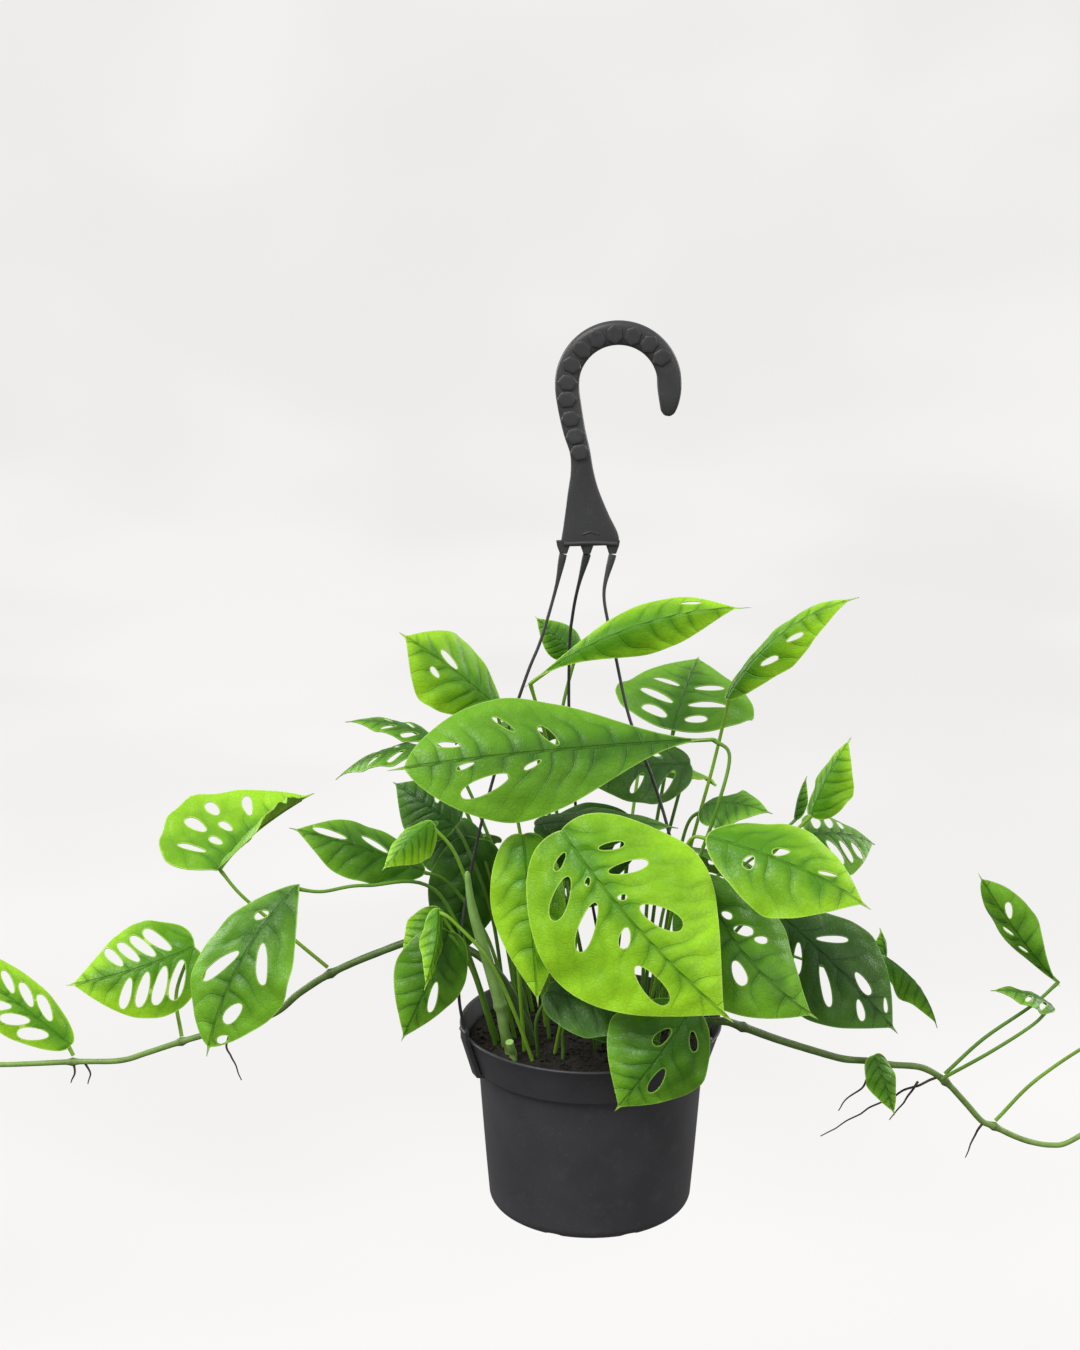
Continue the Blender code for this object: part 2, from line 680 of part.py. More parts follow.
# The leaves, front and top of the crown first, then left vine, right vine and back
LEAVES = {
    "leaf_front_big": Leaf(
        base=(-18, -74, 139), tip=(74, -112, 44), width=106, face=(-0.15, -0.85, 0.5),
        route=((-20, -30), (-10, -48, 60), (-9, -63, 122)),
        fold=9, cup=18, bow=9, sweep=-5, droop=6, wave=3, belly=0.43, lobe=0.09, tone="bright",
        holes=(
            (0.08, -0.1, 0.11, -0.28, 4), (0.16, -0.22, 0.25, -0.6, 9), (0.3, -0.14, 0.4, -0.62, 8),
            (0.45, -0.08, 0.5, -0.24, 6), (0.58, -0.28, 0.77, -0.3, 10), (0.21, -0.05, 0.23, -0.12, 2.5),
            (0.14, 0.2, 0.18, 0.46, 4), (0.24, 0.15, 0.3, 0.52, 7), (0.42, 0.16, 0.6, 0.36, 10),
            (0.34, 0.05, 0.36, 0.13, 3),
        ),
    ),
    "leaf_top_left": Leaf(
        base=(70, -34, 178), tip=(-109, -78, 175), width=72, face=(0.05, -0.85, 0.55),
        route=((36, -20), (52, -32, 85), (67, -39, 138), (74, -35, 168)),
        fold=8, cup=22, bow=6, droop=6, wave=2, belly=0.67, lobe=0.0, point=-0.6, neck=1.3,
        holes=(
            (0.5, -0.08, 0.55, -0.42, 5), (0.62, -0.36, 0.68, -0.66, 3), (0.785, -0.24, 0.85, -0.3, 3.5),
            (0.56, 0.14, 0.61, 0.24, 2.5), (0.655, 0.3, 0.805, 0.54, 8), (0.755, 0.07, 0.805, 0.13, 2.5),
        ),
    ),
    "leaf_top": Leaf(
        base=(-38, -21, 203), tip=(81, -50, 256), width=36, face=(-0.25, -0.85, 0.45),
        route=((-14, 4), (-16, 4, 80), (-24, -6, 160)),
        fold=30, cup=18, bow=5, sweep=9, droop=6, wave=1.5, belly=0.63, lobe=0.0, point=-0.2,
        neck=1.4, tone="bright", holes=((0.73, 0.5, 0.81, 0.36, 2.5),),
    ),
    "leaf_top_right": Leaf(
        base=(73, 0, 190), tip=(140, -24, 256), width=34, face=(-0.5, -0.6, 0.6),
        route=((42, 6), (52, 8, 80), (68, 6, 150)),
        fold=28, cup=26, bow=6, sweep=6, droop=5, wave=1, belly=0.48, lobe=0.02, tone="bright",
        holes=((0.3, -0.3, 0.42, -0.5, 3), (0.52, -0.3, 0.64, -0.42, 2.5)),
    ),
    "leaf_top_behind": Leaf(
        base=(46, 20, 167), tip=(64, 86, 192), width=84, face=(0.0, -0.5, 0.87),
        route=((30, 22), (34, 26, 80), (44, 26, 150)),
        bow=6, fold=8, cup=14, wave=2, belly=0.48,
        holes=(
            (0.11, 0.14, 0.24, 0.52, 6), (0.27, 0.12, 0.43, 0.62, 5), (0.47, 0.1, 0.6, 0.5, 4),
            (0.11, -0.12, 0.2, -0.4, 5), (0.27, -0.12, 0.42, -0.6, 5), (0.48, -0.12, 0.62, -0.5, 4.5),
        ),
    ),
    "leaf_upper_left": Leaf(
        base=(-50, 6, 181), tip=(-106, -6, 230), width=50, face=(0.3, -0.75, 0.55),
        route=((-26, 10), (-36, 13, 80), (-46, 13, 140)),
        belly=0.55, tone="bright", holes=((0.49, -0.08, 0.67, -0.24, 4.5), (0.58, 0.34, 0.67, 0.26, 3)),
    ),
    "leaf_small_top": Leaf(
        base=(-8, 29, 207), tip=(-32, 42, 227), width=26, face=(-0.3, -0.7, 0.5),
        route=((-24, 24), (-26, 28, 80), (-18, 31, 165)), fold=30, bow=3, wave=1,
    ),
    "leaf_edge_upper": Leaf(
        base=(-91, 50, 153), tip=(-142, 62, 159), width=26, face=(0.1, -0.1, 1.0),
        route=((-34, 32), (-50, 40, 70), (-76, 47, 135)), holes=rule_holes(2, 3.5), bow=5, fold=6,
    ),
    "leaf_edge_lower": Leaf(
        base=(-97, 32, 153), tip=(-147, 46, 129), width=28, face=(-0.3, -0.1, 1.0),
        route=((-42, 22), (-56, 34, 70), (-82, 38, 135)), holes=rule_holes(2, 3.5), bow=6, fold=8,
    ),
    "leaf_left_middle": Leaf(
        base=(-93, -8, 92), tip=(-168, -20, 122), width=38, face=(0.2, -0.75, 0.65),
        route=((-44, -8), (-58, -6, 50), (-80, -6, 84)), cup=24, wave=2, belly=0.5,
        holes=((0.3, -0.15, 0.5, -0.4, 4), (0.6, -0.15, 0.85, -0.2, 4)),
    ),
    "leaf_left_folded": Leaf(
        base=(-88, -34, 131), tip=(-115, -52, 108), width=34, face=(-0.2, -0.8, 0.5),
        route=((-50, -20), (-58, -26, 50), (-74, -34, 108)), fold=42, bow=4, tone="bright",
    ),
    "leaf_left_dark": Leaf(
        base=(-76, -4, 117), tip=(-112, 10, 139), width=42, face=(0.1, -0.85, 0.5),
        route=((-48, 4), (-56, 4, 60), (-70, -1, 104)), holes=rule_holes(1, 4), tone="dark",
    ),
    "leaf_left_low_dark": Leaf(
        base=(-62, 16, 97), tip=(-110, 32, 98), width=42, face=(0.0, -0.7, 0.7),
        route=((-36, 12), (-46, 15, 60)), tone="dark",
    ),
    "leaf_lower_left": Leaf(
        base=(-79, -38, 68), tip=(-106, -50, 7), width=43, face=(0.2, -0.9, 0.3),
        route=((-55, -18), (-66, -32, 40), (-76, -38, 62)), holes=((0.42, 0.2, 0.68, 0.36, 5),), bow=6,
    ),
    "leaf_lower_left_pale": Leaf(
        base=(-84, -14, 72), tip=(-108, -24, 44), width=26, face=(0.4, -0.8, 0.3),
        route=((-57, -5), (-70, -12, 42)), fold=30, tone="bright",
    ),
    "leaf_lower_left_curl": Leaf(
        base=(-84, -42, 83), tip=(-92, -66, 44), width=20, face=(0.5, -0.8, 0.3),
        route=((-34, -42), (-54, -50, 50), (-76, -46, 76)), fold=40, tone="bright",
    ),
    "leaf_front_left": Leaf(
        base=(-38, -60, 132), tip=(-30, -86, 42), width=46, face=(0.1, -0.9, 0.35),
        route=((-38, -28), (-42, -42, 60), (-46, -52, 112)), fold=14, cup=30, bow=6, tone="bright",
    ),
    "leaf_under_front": Leaf(
        base=(-26, -56, 40), tip=(36, -78, 24), width=38, face=(-0.1, -0.6, 0.8),
        route=((-30, -38), (-31, -50, 20)), bow=6, cup=20, tone="dark",
    ),
    "leaf_under_front_low": Leaf(
        base=(-14, -38, 18), tip=(38, -64, 12), width=24, face=(0.0, -0.35, 1.0),
        route=((-16, -36), (-16, -37, 8)), bow=4, tone="dark",
    ),
    "leaf_over_rim": Leaf(
        base=(54, -84, 42), tip=(11, -98, -13), width=66, face=(0.15, -0.95, 0.3),
        route=((30, -46), (34, -60, 30), (52, -72, 46)),
        bow=6, cup=24, wave=2, belly=0.45,
        holes=((0.15, 0.22, 0.26, 0.48, 5), (0.51, 0.2, 0.72, 0.27, 7), (0.24, -0.1, 0.4, -0.2, 6)),
    ),
    "leaf_right_front": Leaf(
        base=(58, -52, 106), tip=(123, -84, 35), width=68, face=(0.15, -0.85, 0.5),
        route=((36, -34), (44, -44, 50), (52, -48, 98)),
        bow=8, sweep=-12, droop=5, cup=24, wave=2, belly=0.45,
        holes=(
            (0.22, 0.08, 0.27, 0.2, 4.5), (0.33, 0.12, 0.4, 0.38, 7), (0.44, 0.32, 0.5, 0.5, 5),
            (0.47, -0.2, 0.59, -0.32, 7),
        ),
    ),
    "leaf_right_bright": Leaf(
        base=(60, -68, 134), tip=(147, -94, 104), width=60, face=(0.1, -0.72, 0.7),
        route=((26, -38), (40, -54, 70), (50, -62, 126)),
        bow=7, droop=6, cup=22, wave=2, belly=0.5, tone="bright",
        holes=((0.29, -0.12, 0.27, -0.36, 6), (0.46, 0.26, 0.38, 0.1, 5), (0.76, 0.22, 0.66, 0.1, 2.5)),
    ),
    "leaf_right_slits": Leaf(
        base=(104, -24, 73), tip=(170, -46, 10), width=66, face=(0.1, -0.8, 0.55),
        route=((50, -18), (66, -22, 40), (92, -22, 74)),
        bow=6, cup=16, belly=0.5, tone="dark",
        holes=(
            (0.2, -0.14, 0.32, -0.56, 4.5), (0.38, -0.16, 0.6, -0.54, 5), (0.56, 0.2, 0.72, 0.1, 6),
            (0.8, 0.28, 0.86, 0.1, 3), (0.26, 0.14, 0.4, 0.56, 4.5), (0.68, -0.12, 0.8, -0.3, 4),
        ),
    ),
    "leaf_right_curl": Leaf(
        base=(168, 8, 36), tip=(199, 0, -6), width=26, face=(0.7, -0.6, 0.4),
        route=((52, 2), (86, 8, 44), (140, 10, 48)), fold=46, bow=8, wave=2,
    ),
    "leaf_right_curl_small": Leaf(
        base=(170, 26, 18), tip=(168, 30, 44), width=22, face=(0.5, -0.7, 0.2),
        route=((50, 14), (88, 22, 34), (140, 28, 20)), fold=40, bow=4,
    ),
    "leaf_right_up": Leaf(
        base=(122, -4, 123), tip=(145, 8, 166), width=36, face=(-0.6, -0.7, 0.2),
        route=((46, -6), (64, -4, 60), (104, -4, 104)), fold=38, bow=4, tone="bright",
    ),
    "leaf_right_young": Leaf(
        base=(116, 22, 112), tip=(123, 28, 137), width=12, face=(-0.6, -0.7, 0.2),
        route=((44, 20), (62, 20, 60), (98, 22, 94)), fold=45, bow=2, wave=0.3, lobe=0.0,
    ),
    "leaf_right_behind": Leaf(
        base=(126, 36, 99), tip=(168, 62, 84), width=52, face=(0.2, -0.45, 0.85),
        route=((40, 30), (62, 34, 60), (106, 36, 98)), holes=rule_holes(3, 6), bow=5,
    ),
    "leaf_right_edge": Leaf(
        base=(60, -14, 132), tip=(98, -38, 136), width=34, face=(-0.1, -0.4, 0.9),
        route=((36, -8), (42, -10, 60), (52, -12, 118)), bow=6,
    ),
    "leaf_centre_dark_upper": Leaf(
        base=(56, 10, 150), tip=(-14, -12, 148), width=44, face=(0.0, -0.75, 0.65),
        route=((30, 6), (38, 8, 80)), holes=rule_holes(2, 5), tone="dark",
    ),
    "leaf_centre_dark_lower": Leaf(
        base=(24, -18, 122), tip=(-44, -34, 104), width=50, face=(0.0, -0.8, 0.55),
        route=((10, -14), (16, -14, 60)), holes=rule_holes(2, 4.5), tone="dark",
    ),
    "leaf_inner_left": Leaf(
        base=(-64, 8, 106), tip=(-82, 2, 28), width=46, face=(0.1, -0.9, 0.35),
        route=((-34, -4), (-48, 3, 50), (-60, 8, 92)), tone="dark", bow=4,
    ),
    "leaf_inner_centre": Leaf(
        base=(-40, -6, 104), tip=(-36, -12, 36), width=36, face=(0.1, -0.95, 0.2),
        route=((-24, -10), (-30, -8, 50)), tone="dark", bow=4,
    ),
    "leaf_inner_arc": Leaf(
        base=(-32, -48, 133), tip=(46, -50, 132), width=36, face=(0.0, -0.35, 0.95),
        route=((2, -24), (-4, -30, 40), (-12, -40, 80), (-28, -46, 118)), tone="dark", bow=5,
    ),
    "leaf_vine_left_arch": Leaf(
        base=(-211, -6, 93), tip=(-160, 50, 120), width=102, face=(-0.5, -0.22, 0.83),
        route=((-149.6, -4.6, 33.3), (-168, -5, 50), (-196, -6, 76)), stem="stem_left",
        fold=-26, cup=0, bow=2, sweep=7, belly=0.36, lobe=0.16, tone="bright",
        holes=(
            (0.29, 0.46, 0.33, 0.78, 6), (0.44, 0.5, 0.48, 0.74, 5), (0.38, 0.2, 0.4, 0.42, 4),
            (0.24, 0.16, 0.26, 0.36, 4), (0.13, 0.26, 0.13, 0.6, 4), (0.2, -0.2, 0.26, -0.6, 5),
            (0.56, 0.22, 0.66, 0.5, 5),
        ),
    ),
    "leaf_vine_left_droop": Leaf(
        base=(-160, -52, 101), tip=(-210, -82, 12), width=62, face=(-0.35, -0.8, 0.5),
        route=((-54, -12), (-84, -26, 84), (-124, -42, 96), (-148, -49, 95)),
        fold=8, cup=20, bow=12, sweep=-3, wave=2, belly=0.58, lobe=0.02, point=0.0,
        holes=(
            (0.2, -0.08, 0.26, -0.26, 5), (0.45, -0.12, 0.66, -0.62, 8), (0.34, 0.18, 0.54, 0.56, 6),
            (0.68, 0.36, 0.8, 0.16, 7), (0.86, 0.32, 0.91, 0.14, 4),
        ),
    ),
    "leaf_vine_left_lace": Leaf(
        base=(-226, 6, 42), tip=(-299, -4, 22), width=62, face=(0.1, -0.8, 0.6),
        route=((-234.5, -1.4, -10.5), (-238, 8, 12)), stem="stem_left",
        holes=rule_holes(4, 7.5, 0.14, 0.76), sweep=4, lobe=0.1, tone="bright",
    ),
    "leaf_vine_left_end": Leaf(
        base=(-299, 4, -18), tip=(-384, 24, 40), width=40, face=(0.1, -0.7, 0.7),
        route=((-298, 3, -24.1),), stem="stem_left",
        holes=rule_holes(4, 6.5, 0.18, 0.68), belly=0.45, tone="bright",
    ),
    "leaf_vine_left_young": Leaf(
        base=(-388, 14, -18), tip=(-399, 16, 4), width=11, face=(0.2, -0.9, 0.2),
        route=((-386, 14, -24.2),), stem="stem_left", fold=50, bow=1, wave=0.3, lobe=0.0,
        tone="bright",
    ),
    "leaf_vine_right_small": Leaf(
        base=(158, -38, -6), tip=(170, -44, -40), width=20, face=(0.3, -0.9, 0.2),
        route=((160.9, -29.85, -15.2),), stem="stem_right", fold=20, bow=2,
    ),
    "leaf_vine_right_up": Leaf(
        base=(268, 0, 19), tip=(220, 12, 84), width=30, face=(-0.6, -0.75, 0.2),
        route=((202.2, -13, -28.4), (224, -10, -8), (252, -4, 10)), stem="stem_right",
        fold=24, belly=0.63, point=-0.3, neck=1.1,
        holes=((0.62, -0.12, 0.72, -0.4, 4), (0.34, 0.14, 0.41, 0.36, 2.5), (0.5, 0.2, 0.58, 0.5, 3)),
    ),
    "leaf_vine_right_edge": Leaf(
        base=(262, -14, 14), tip=(224, -24, 27), width=24, face=(0.0, -0.15, 1.0),
        route=((199.5, -18.4, -29.2), (226, -24, -10), (250, -20, 5)), stem="stem_right", bow=4,
        holes=rule_holes(2, 3),
    ),
    "leaf_vine_right_end": Leaf(
        base=(318, 4, -14), tip=(366, 12, -52), width=46, face=(0.1, -0.75, 0.65),
        route=((233.4, -7.2, -60.2), (258, -2, -36), (296, 2, -12)), stem="stem_right",
        holes=rule_holes(3, 5), bow=6, tone="bright",
    ),
    "leaf_vine_right_young": Leaf(
        base=(316, 6, -51), tip=(338, 8, -38), width=11, face=(0.0, -0.9, 0.3),
        route=((311.1, 6, -57.1),), stem="stem_right", fold=50, bow=1, wave=0.3, lobe=0.0,
        tone="bright",
    ),
    "leaf_back_high": Leaf(
        base=(-30, 52, 160), tip=(-76, 118, 128), width=70, face=(-0.3, 0.6, 0.75),
        route=((-22, 40), (-26, 46, 90)), holes=rule_holes(2, 8), bow=8,
    ),
    "leaf_back_middle": Leaf(
        base=(28, 62, 136), tip=(60, 134, 98), width=80, face=(0.2, 0.6, 0.8),
        route=((14, 44), (22, 52, 80)), holes=rule_holes(3, 7.5), bow=9, tone="bright",
    ),
    "leaf_back_left": Leaf(
        base=(-60, 58, 92), tip=(-124, 102, 48), width=66, face=(-0.5, 0.5, 0.75),
        route=((-42, 36), (-50, 46, 60)), holes=rule_holes(2, 7.5), bow=8,
    ),
    "leaf_back_right": Leaf(
        base=(58, 60, 84), tip=(122, 98, 36), width=68, face=(0.5, 0.5, 0.75),
        route=((36, 42), (44, 50, 50)), holes=rule_holes(3, 6.5), bow=8,
    ),
    "leaf_back_low": Leaf(
        base=(-14, 66, 74), tip=(-34, 128, 4), width=74, face=(-0.1, 0.85, 0.55),
        route=((-10, 46), (-12, 56, 50)), holes=rule_holes(2, 8), bow=9, tone="dark",
    ),
}


# Stems

@dataclass
class Stem:
    """A stem: its route in millimetres, the radii along it, swollen nodes and aerial roots."""

    route: tuple
    radii: tuple
    nodes: tuple = ()
    roots: tuple = ()
    tone: str = "stem"


STEMS = {
    "stem_left": Stem(
        route=(
            (-34, -16), (-50, -14, 30), (-72, -6, 46), (-95, -3, 50), (-123, -4, 41), (-148, -6, 30),
            (-166, -6, 18), (-182, -6, 5), (-215, -5, -6), (-236, -4, -13), (-254, -2, -20),
            (-271, 0, -26), (-298, 3, -28), (-342, 8, -32), (-372, 12, -32), (-389, 14, -25),
        ),
        radii=(2.3, 2.2, 1.9, 1.6, 1.4),
        nodes=((-148, -6, 30), (-234, -4, -12.5), (-298, 3, -28)),
        roots=(
            ((-206, -5, -4), (-208, -8, -14), (-203, -10, -24), (-200, -10, -34)),
            ((-298, 3, -29), (-297, 0, -34), (-299, -2, -39)),
            ((-292, 3, -28), (-288, 0, -34), (-289, -3, -40)),
        ),
    ),
    "stem_right": Stem(
        route=(
            (38, -44), (50, -54, 18), (70, -56, 22), (83, -50, 16), (103, -44, 6), (126, -38, -4),
            (142, -32, -11), (157, -28, -14), (170, -24, -18), (188, -19, -22), (202, -15, -32),
            (215, -12, -47), (225, -10, -59), (232, -8, -63), (244, -6, -70), (255, -4, -75),
            (267, -2, -78), (278, 0, -77), (299, 4, -65), (311, 6, -58),
        ),
        radii=(2.3, 2.2, 1.9, 1.7, 1.4),
        nodes=((83, -50, 16), (202, -15, -32), (232, -8, -63)),
        roots=(
            ((158, -28, -14), (154, -32, -26), (144, -35, -34), (139, -36, -41)),
            ((198, -16, -29), (176, -22, -36), (154, -26, -46), (130, -30, -60)),
            ((186, -20, -30), (178, -24, -40), (170, -26, -51)),
            ((226, -10, -60), (220, -12, -70), (216, -14, -80)),
        ),
    ),
    "stem_front": Stem(
        route=((-46, -32), (-49, -35, 8), (-51, -36, 22), (-58, -38, 50), (-66, -40, 80), (-69, -42, 104)),
        radii=(3.0, 3.0, 3.4, 3.2, 2.5, 1.5),
        nodes=((-51, -36, 22),),
        tone="sheath",
    ),
    "stem_stub": Stem(
        route=((-44, -39), (-45, -41, -1), (-46, -43, 4)),
        radii=(2.2, 2.2, 2.4),
        tone="sheath",
    ),
}


def make_stem(name, stem, materials):
    material = materials[stem.tone]
    x, y = stem.route[0]
    start = Vector((x, y, SOIL_TOP - STEM_DEPTH))
    above = Vector((x, y, SOIL_TOP + 5.0))
    places = [above, *(Vector(place) for place in stem.route[1:])]
    points = [at(*start)] + smooth_route([at(*p) for p in places], 2)
    body = tube(name, points, stem.radii, TUBE_SIDES, material)
    joined = []
    for place in stem.nodes:
        joined.append(node_swelling(points, Vector(place), stem.radii[0], material))
    for k, root in enumerate(stem.roots):
        line = smooth_route([at(*p) for p in root], 2)
        joined.append(tube(f"{name}_root_{k}", line, [0.9, 0.7, 0.45], PETIOLE_SIDES, material))
    return boolean(body, joined, "UNION") if joined else body


def node_swelling(points, place, radius, material):
    """The short thick ring where a leaf leaves its stem."""
    spot = at(*place)
    nearest = min(range(1, len(points) - 1), key=lambda i: (points[i] - spot).length)
    forward = (points[nearest + 1] - points[nearest - 1]).normalized()
    middle = points[nearest]
    line = [middle + forward * step * MM for step in (-3.5, -1.2, 1.2, 3.5)]
    wide = radius + 0.9
    return tube("swelling", line, [radius * 0.5, wide, wide, radius * 0.5], TUBE_SIDES, material)


def soil_holes():
    """(x, y, radius) of each stalk and stem that stands in the soil."""
    holes = [(*leaf.route[0], PETIOLE_RADIUS) for leaf in LEAVES.values() if not leaf.stem]
    holes += [(*stem.route[0], max(stem.radii[:2])) for stem in STEMS.values()]
    return holes


def main():
    for thing in list(bpy.data.objects):
        bpy.data.objects.remove(thing)
    plastic = make_material("pot_plastic", (0.045, 0.045, 0.05), 0.55)
    peat = make_material("peat", (0.02, 0.014, 0.01), 0.95)
    materials = {
        "bright": make_material("leaf_bright", (0.23, 0.47, 0.03), 0.4),
        "green": make_material("leaf_green", (0.1, 0.3, 0.03), 0.4),
        "dark": make_material("leaf_dark", (0.03, 0.13, 0.02), 0.45),
        "stem": make_material("vine", (0.13, 0.22, 0.04), 0.5),
        "sheath": make_material("young_stem", (0.32, 0.48, 0.14), 0.45),
    }
    make_pot(plastic)
    make_soil(soil_holes(), peat)
    make_hook(plastic)
    for name in STRAND_ROUTES:
        make_strand(name, plastic)
    for name, stem in STEMS.items():
        make_stem(name, stem, materials)
    for name, leaf in LEAVES.items():
        make_leaf(name, leaf, materials)


main()
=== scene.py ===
"""Dresses the hanging Monstera adansonii: fine leaves, stems, peat, pot, hanger, studio and camera.

Places are written in millimetres about the middle of the pot's rim, with x to the right, y away
from the viewer and z up, and are turned into metres from the hook's inner crown.
"""

import math
import random
from dataclasses import dataclass

import bpy
import numpy as np
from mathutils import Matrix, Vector, noise
from mathutils.geometry import delaunay_2d_cdt


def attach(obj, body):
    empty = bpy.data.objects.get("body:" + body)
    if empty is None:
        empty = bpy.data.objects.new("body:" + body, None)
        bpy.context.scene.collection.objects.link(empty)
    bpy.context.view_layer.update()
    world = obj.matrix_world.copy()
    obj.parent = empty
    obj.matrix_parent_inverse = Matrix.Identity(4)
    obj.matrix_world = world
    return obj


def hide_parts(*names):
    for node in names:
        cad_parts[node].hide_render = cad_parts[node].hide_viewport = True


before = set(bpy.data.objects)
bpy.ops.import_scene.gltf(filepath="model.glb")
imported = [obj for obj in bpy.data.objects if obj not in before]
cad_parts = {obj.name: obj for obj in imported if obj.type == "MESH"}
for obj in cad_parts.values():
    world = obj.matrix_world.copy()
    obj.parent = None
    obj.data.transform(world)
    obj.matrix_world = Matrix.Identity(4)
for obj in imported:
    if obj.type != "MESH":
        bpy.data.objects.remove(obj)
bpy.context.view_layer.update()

bl_info = {
    "name": "Hanging swiss cheese vine",
    "version": (1, 0, 0),
    "blender": (4, 5, 0),
    "location": "View3D > Sidebar > Hanging Plant",
    "description": "Builds a Monstera adansonii in its hanging pot, ready to render",
    "category": "Object",
}

MM = 0.001
RIM_CENTRE = Vector((-0.013, 0.0, -0.387))
GAP = 0.3

# Pot and soil
RIM_RADIUS = 75.0
LIP_HEIGHT = 22.0
LIP_BOTTOM_RADIUS = 68.0
BODY_TOP_RADIUS = 64.5
BODY_BOTTOM_RADIUS = 58.5
POT_HEIGHT = 111.0
CORNER_RADIUS = 7.0
WALL = 1.8
FLOOR_RAISE = 3.0
FOOT_COUNT = 8
FOOT_WIDTH = 4.0
FOOT_NOTCH_WIDTH = 11.0
DRAIN_RADIUS = 4.0
DRAIN_COUNT = 4
DRAIN_RING = 34.0
SOIL_TOP = -10.0
SOIL_LIFT = 1.0
SOIL_SEED = 11
CRUMB_COUNT = 420
FIBRE_COUNT = 70

# Hanger
HOOK_INNER_RADIUS = 21.0
HOOK_BAND = 13.0
HOOK_THICKNESS = 8.0
HOOK_CENTRE = (13.0, 0.0, 366.0)
BAND_SQUARENESS = 0.62
BAND_PADS = 8
FIRST_PAD = 33.0
PAD_TURN = 20.6
PAD_HALF_LENGTH = 4.1
PAD_HALF_WIDTH = 4.7
PLATE_FOOT = 279.0
STRAND_ROOTS = (-16.2, -3.4, 10.6)
STRAND_ROOT_WIDTH = 8.0
STRAND_STEP = 2.0
CLIP_WIDTH = 9.0
CLIP_TOP = 5.0

# Camera, from the photograph
PHOTO_SIZE = (1080, 1350)
FOCAL_PIXELS = 2640.0
CAMERA_PLACE = (-0.042, -1.407, 0.202)
CAMERA_PITCH = 15.3
SENSOR = 36.0

# Studio, in metres
STUDIO_RADIUS = 3.2
STUDIO_CURVE = 1.6
STUDIO_TOP = 5.0
STUDIO_SIDES = 96


def at(x, y, z):
    """A place given in millimetres about the rim's centre, in metres from the hook's crown."""
    return RIM_CENTRE + Vector((x, y, z)) * MM


# Paint

class Wire:
    """An output of a material's nodes. Arithmetic on it adds Math nodes."""

    def __init__(self, paint, socket):
        self.paint = paint
        self.socket = socket

    def maths(self, operation, *values):
        return self.paint.node("ShaderNodeMath", {"operation": operation}, dict(enumerate(values)))

    def __add__(self, other):
        return self.maths("ADD", self, other)

    def __radd__(self, other):
        return self.maths("ADD", other, self)

    def __sub__(self, other):
        return self.maths("SUBTRACT", self, other)

    def __rsub__(self, other):
        return self.maths("SUBTRACT", other, self)

    def __mul__(self, other):
        return self.maths("MULTIPLY", self, other)

    def __rmul__(self, other):
        return self.maths("MULTIPLY", other, self)

    def __abs__(self):
        return self.maths("ABSOLUTE", self)

    def fraction(self):
        return self.maths("FRACT", self)

    def clamped(self):
        return self.maths("MINIMUM", self.maths("MAXIMUM", self, 0.0), 1.0)

    def most(self, other):
        return self.maths("MAXIMUM", self, other)

    def rising(self, low, high):
        """0 below low and 1 above high, with a soft step between."""
        return self.paint.node(
            "ShaderNodeMapRange", {"interpolation_type": "SMOOTHSTEP"}, {0: self, 1: low, 2: high}
        )


class Paint:
    """A node material that ends in a Principled BSDF."""

    def __init__(self, name):
        self.material = bpy.data.materials.new(name)
        self.material.use_nodes = True
        self.tree = self.material.node_tree
        self.shader = self.tree.nodes["Principled BSDF"]

    def node(self, kind, settings=None, sockets=None, output=0):
        made = self.tree.nodes.new(kind)
        for key, value in (settings or {}).items():
            setattr(made, key, value)
        for key, value in (sockets or {}).items():
            self.join(made.inputs[key], value)
        return Wire(self, made.outputs[output])

    def join(self, socket, value):
        if isinstance(value, Wire):
            self.tree.links.new(value.socket, socket)
        else:
            socket.default_value = value

    def mix(self, factor, first, second):
        """A colour between two colours."""
        sockets = {0: factor, 6: paint_value(first), 7: paint_value(second)}
        return self.node("ShaderNodeMix", {"data_type": "RGBA"}, sockets, 2)

    def attribute(self, name, output="Fac"):
        return self.node("ShaderNodeAttribute", {"attribute_name": name}, {}, output)

    def parts(self, vector):
        """The three numbers of a vector."""
        first = self.node("ShaderNodeSeparateXYZ", {}, {0: vector})
        return [Wire(self, socket) for socket in first.socket.node.outputs]

    def place(self):
        """The point on the model, in metres."""
        return self.node("ShaderNodeTexCoord", {}, {}, "Object")

    def noise(self, scale, detail=2.0, roughness=0.5):
        sockets = {
            "Vector": self.place(), "Scale": scale, "Detail": detail, "Roughness": roughness,
        }
        return self.node("ShaderNodeTexNoise", {}, sockets)

    def cell_edges(self, scale):
        """How far a point is from the edge of its cell."""
        sockets = {"Vector": self.place(), "Scale": scale}
        return self.node("ShaderNodeTexVoronoi", {"feature": "DISTANCE_TO_EDGE"}, sockets, "Distance")

    def bump(self, height, distance, strength=1.0):
        sockets = {"Height": height, "Distance": distance, "Strength": strength}
        return self.node("ShaderNodeBump", {}, sockets)

    def finish(self, **sockets):
        """Joins colours, values and links to the shader's sockets, named with low lines for gaps."""
        for key, value in sockets.items():
            self.join(self.shader.inputs[key.replace("_", " ")], value)
        return self.material


def paint_value(colour):
    return colour if isinstance(colour, Wire) else (*colour[:3], 1.0)


def scaled(colour, factor):
    """A colour made darker or lighter."""
    return [channel * factor for channel in colour]


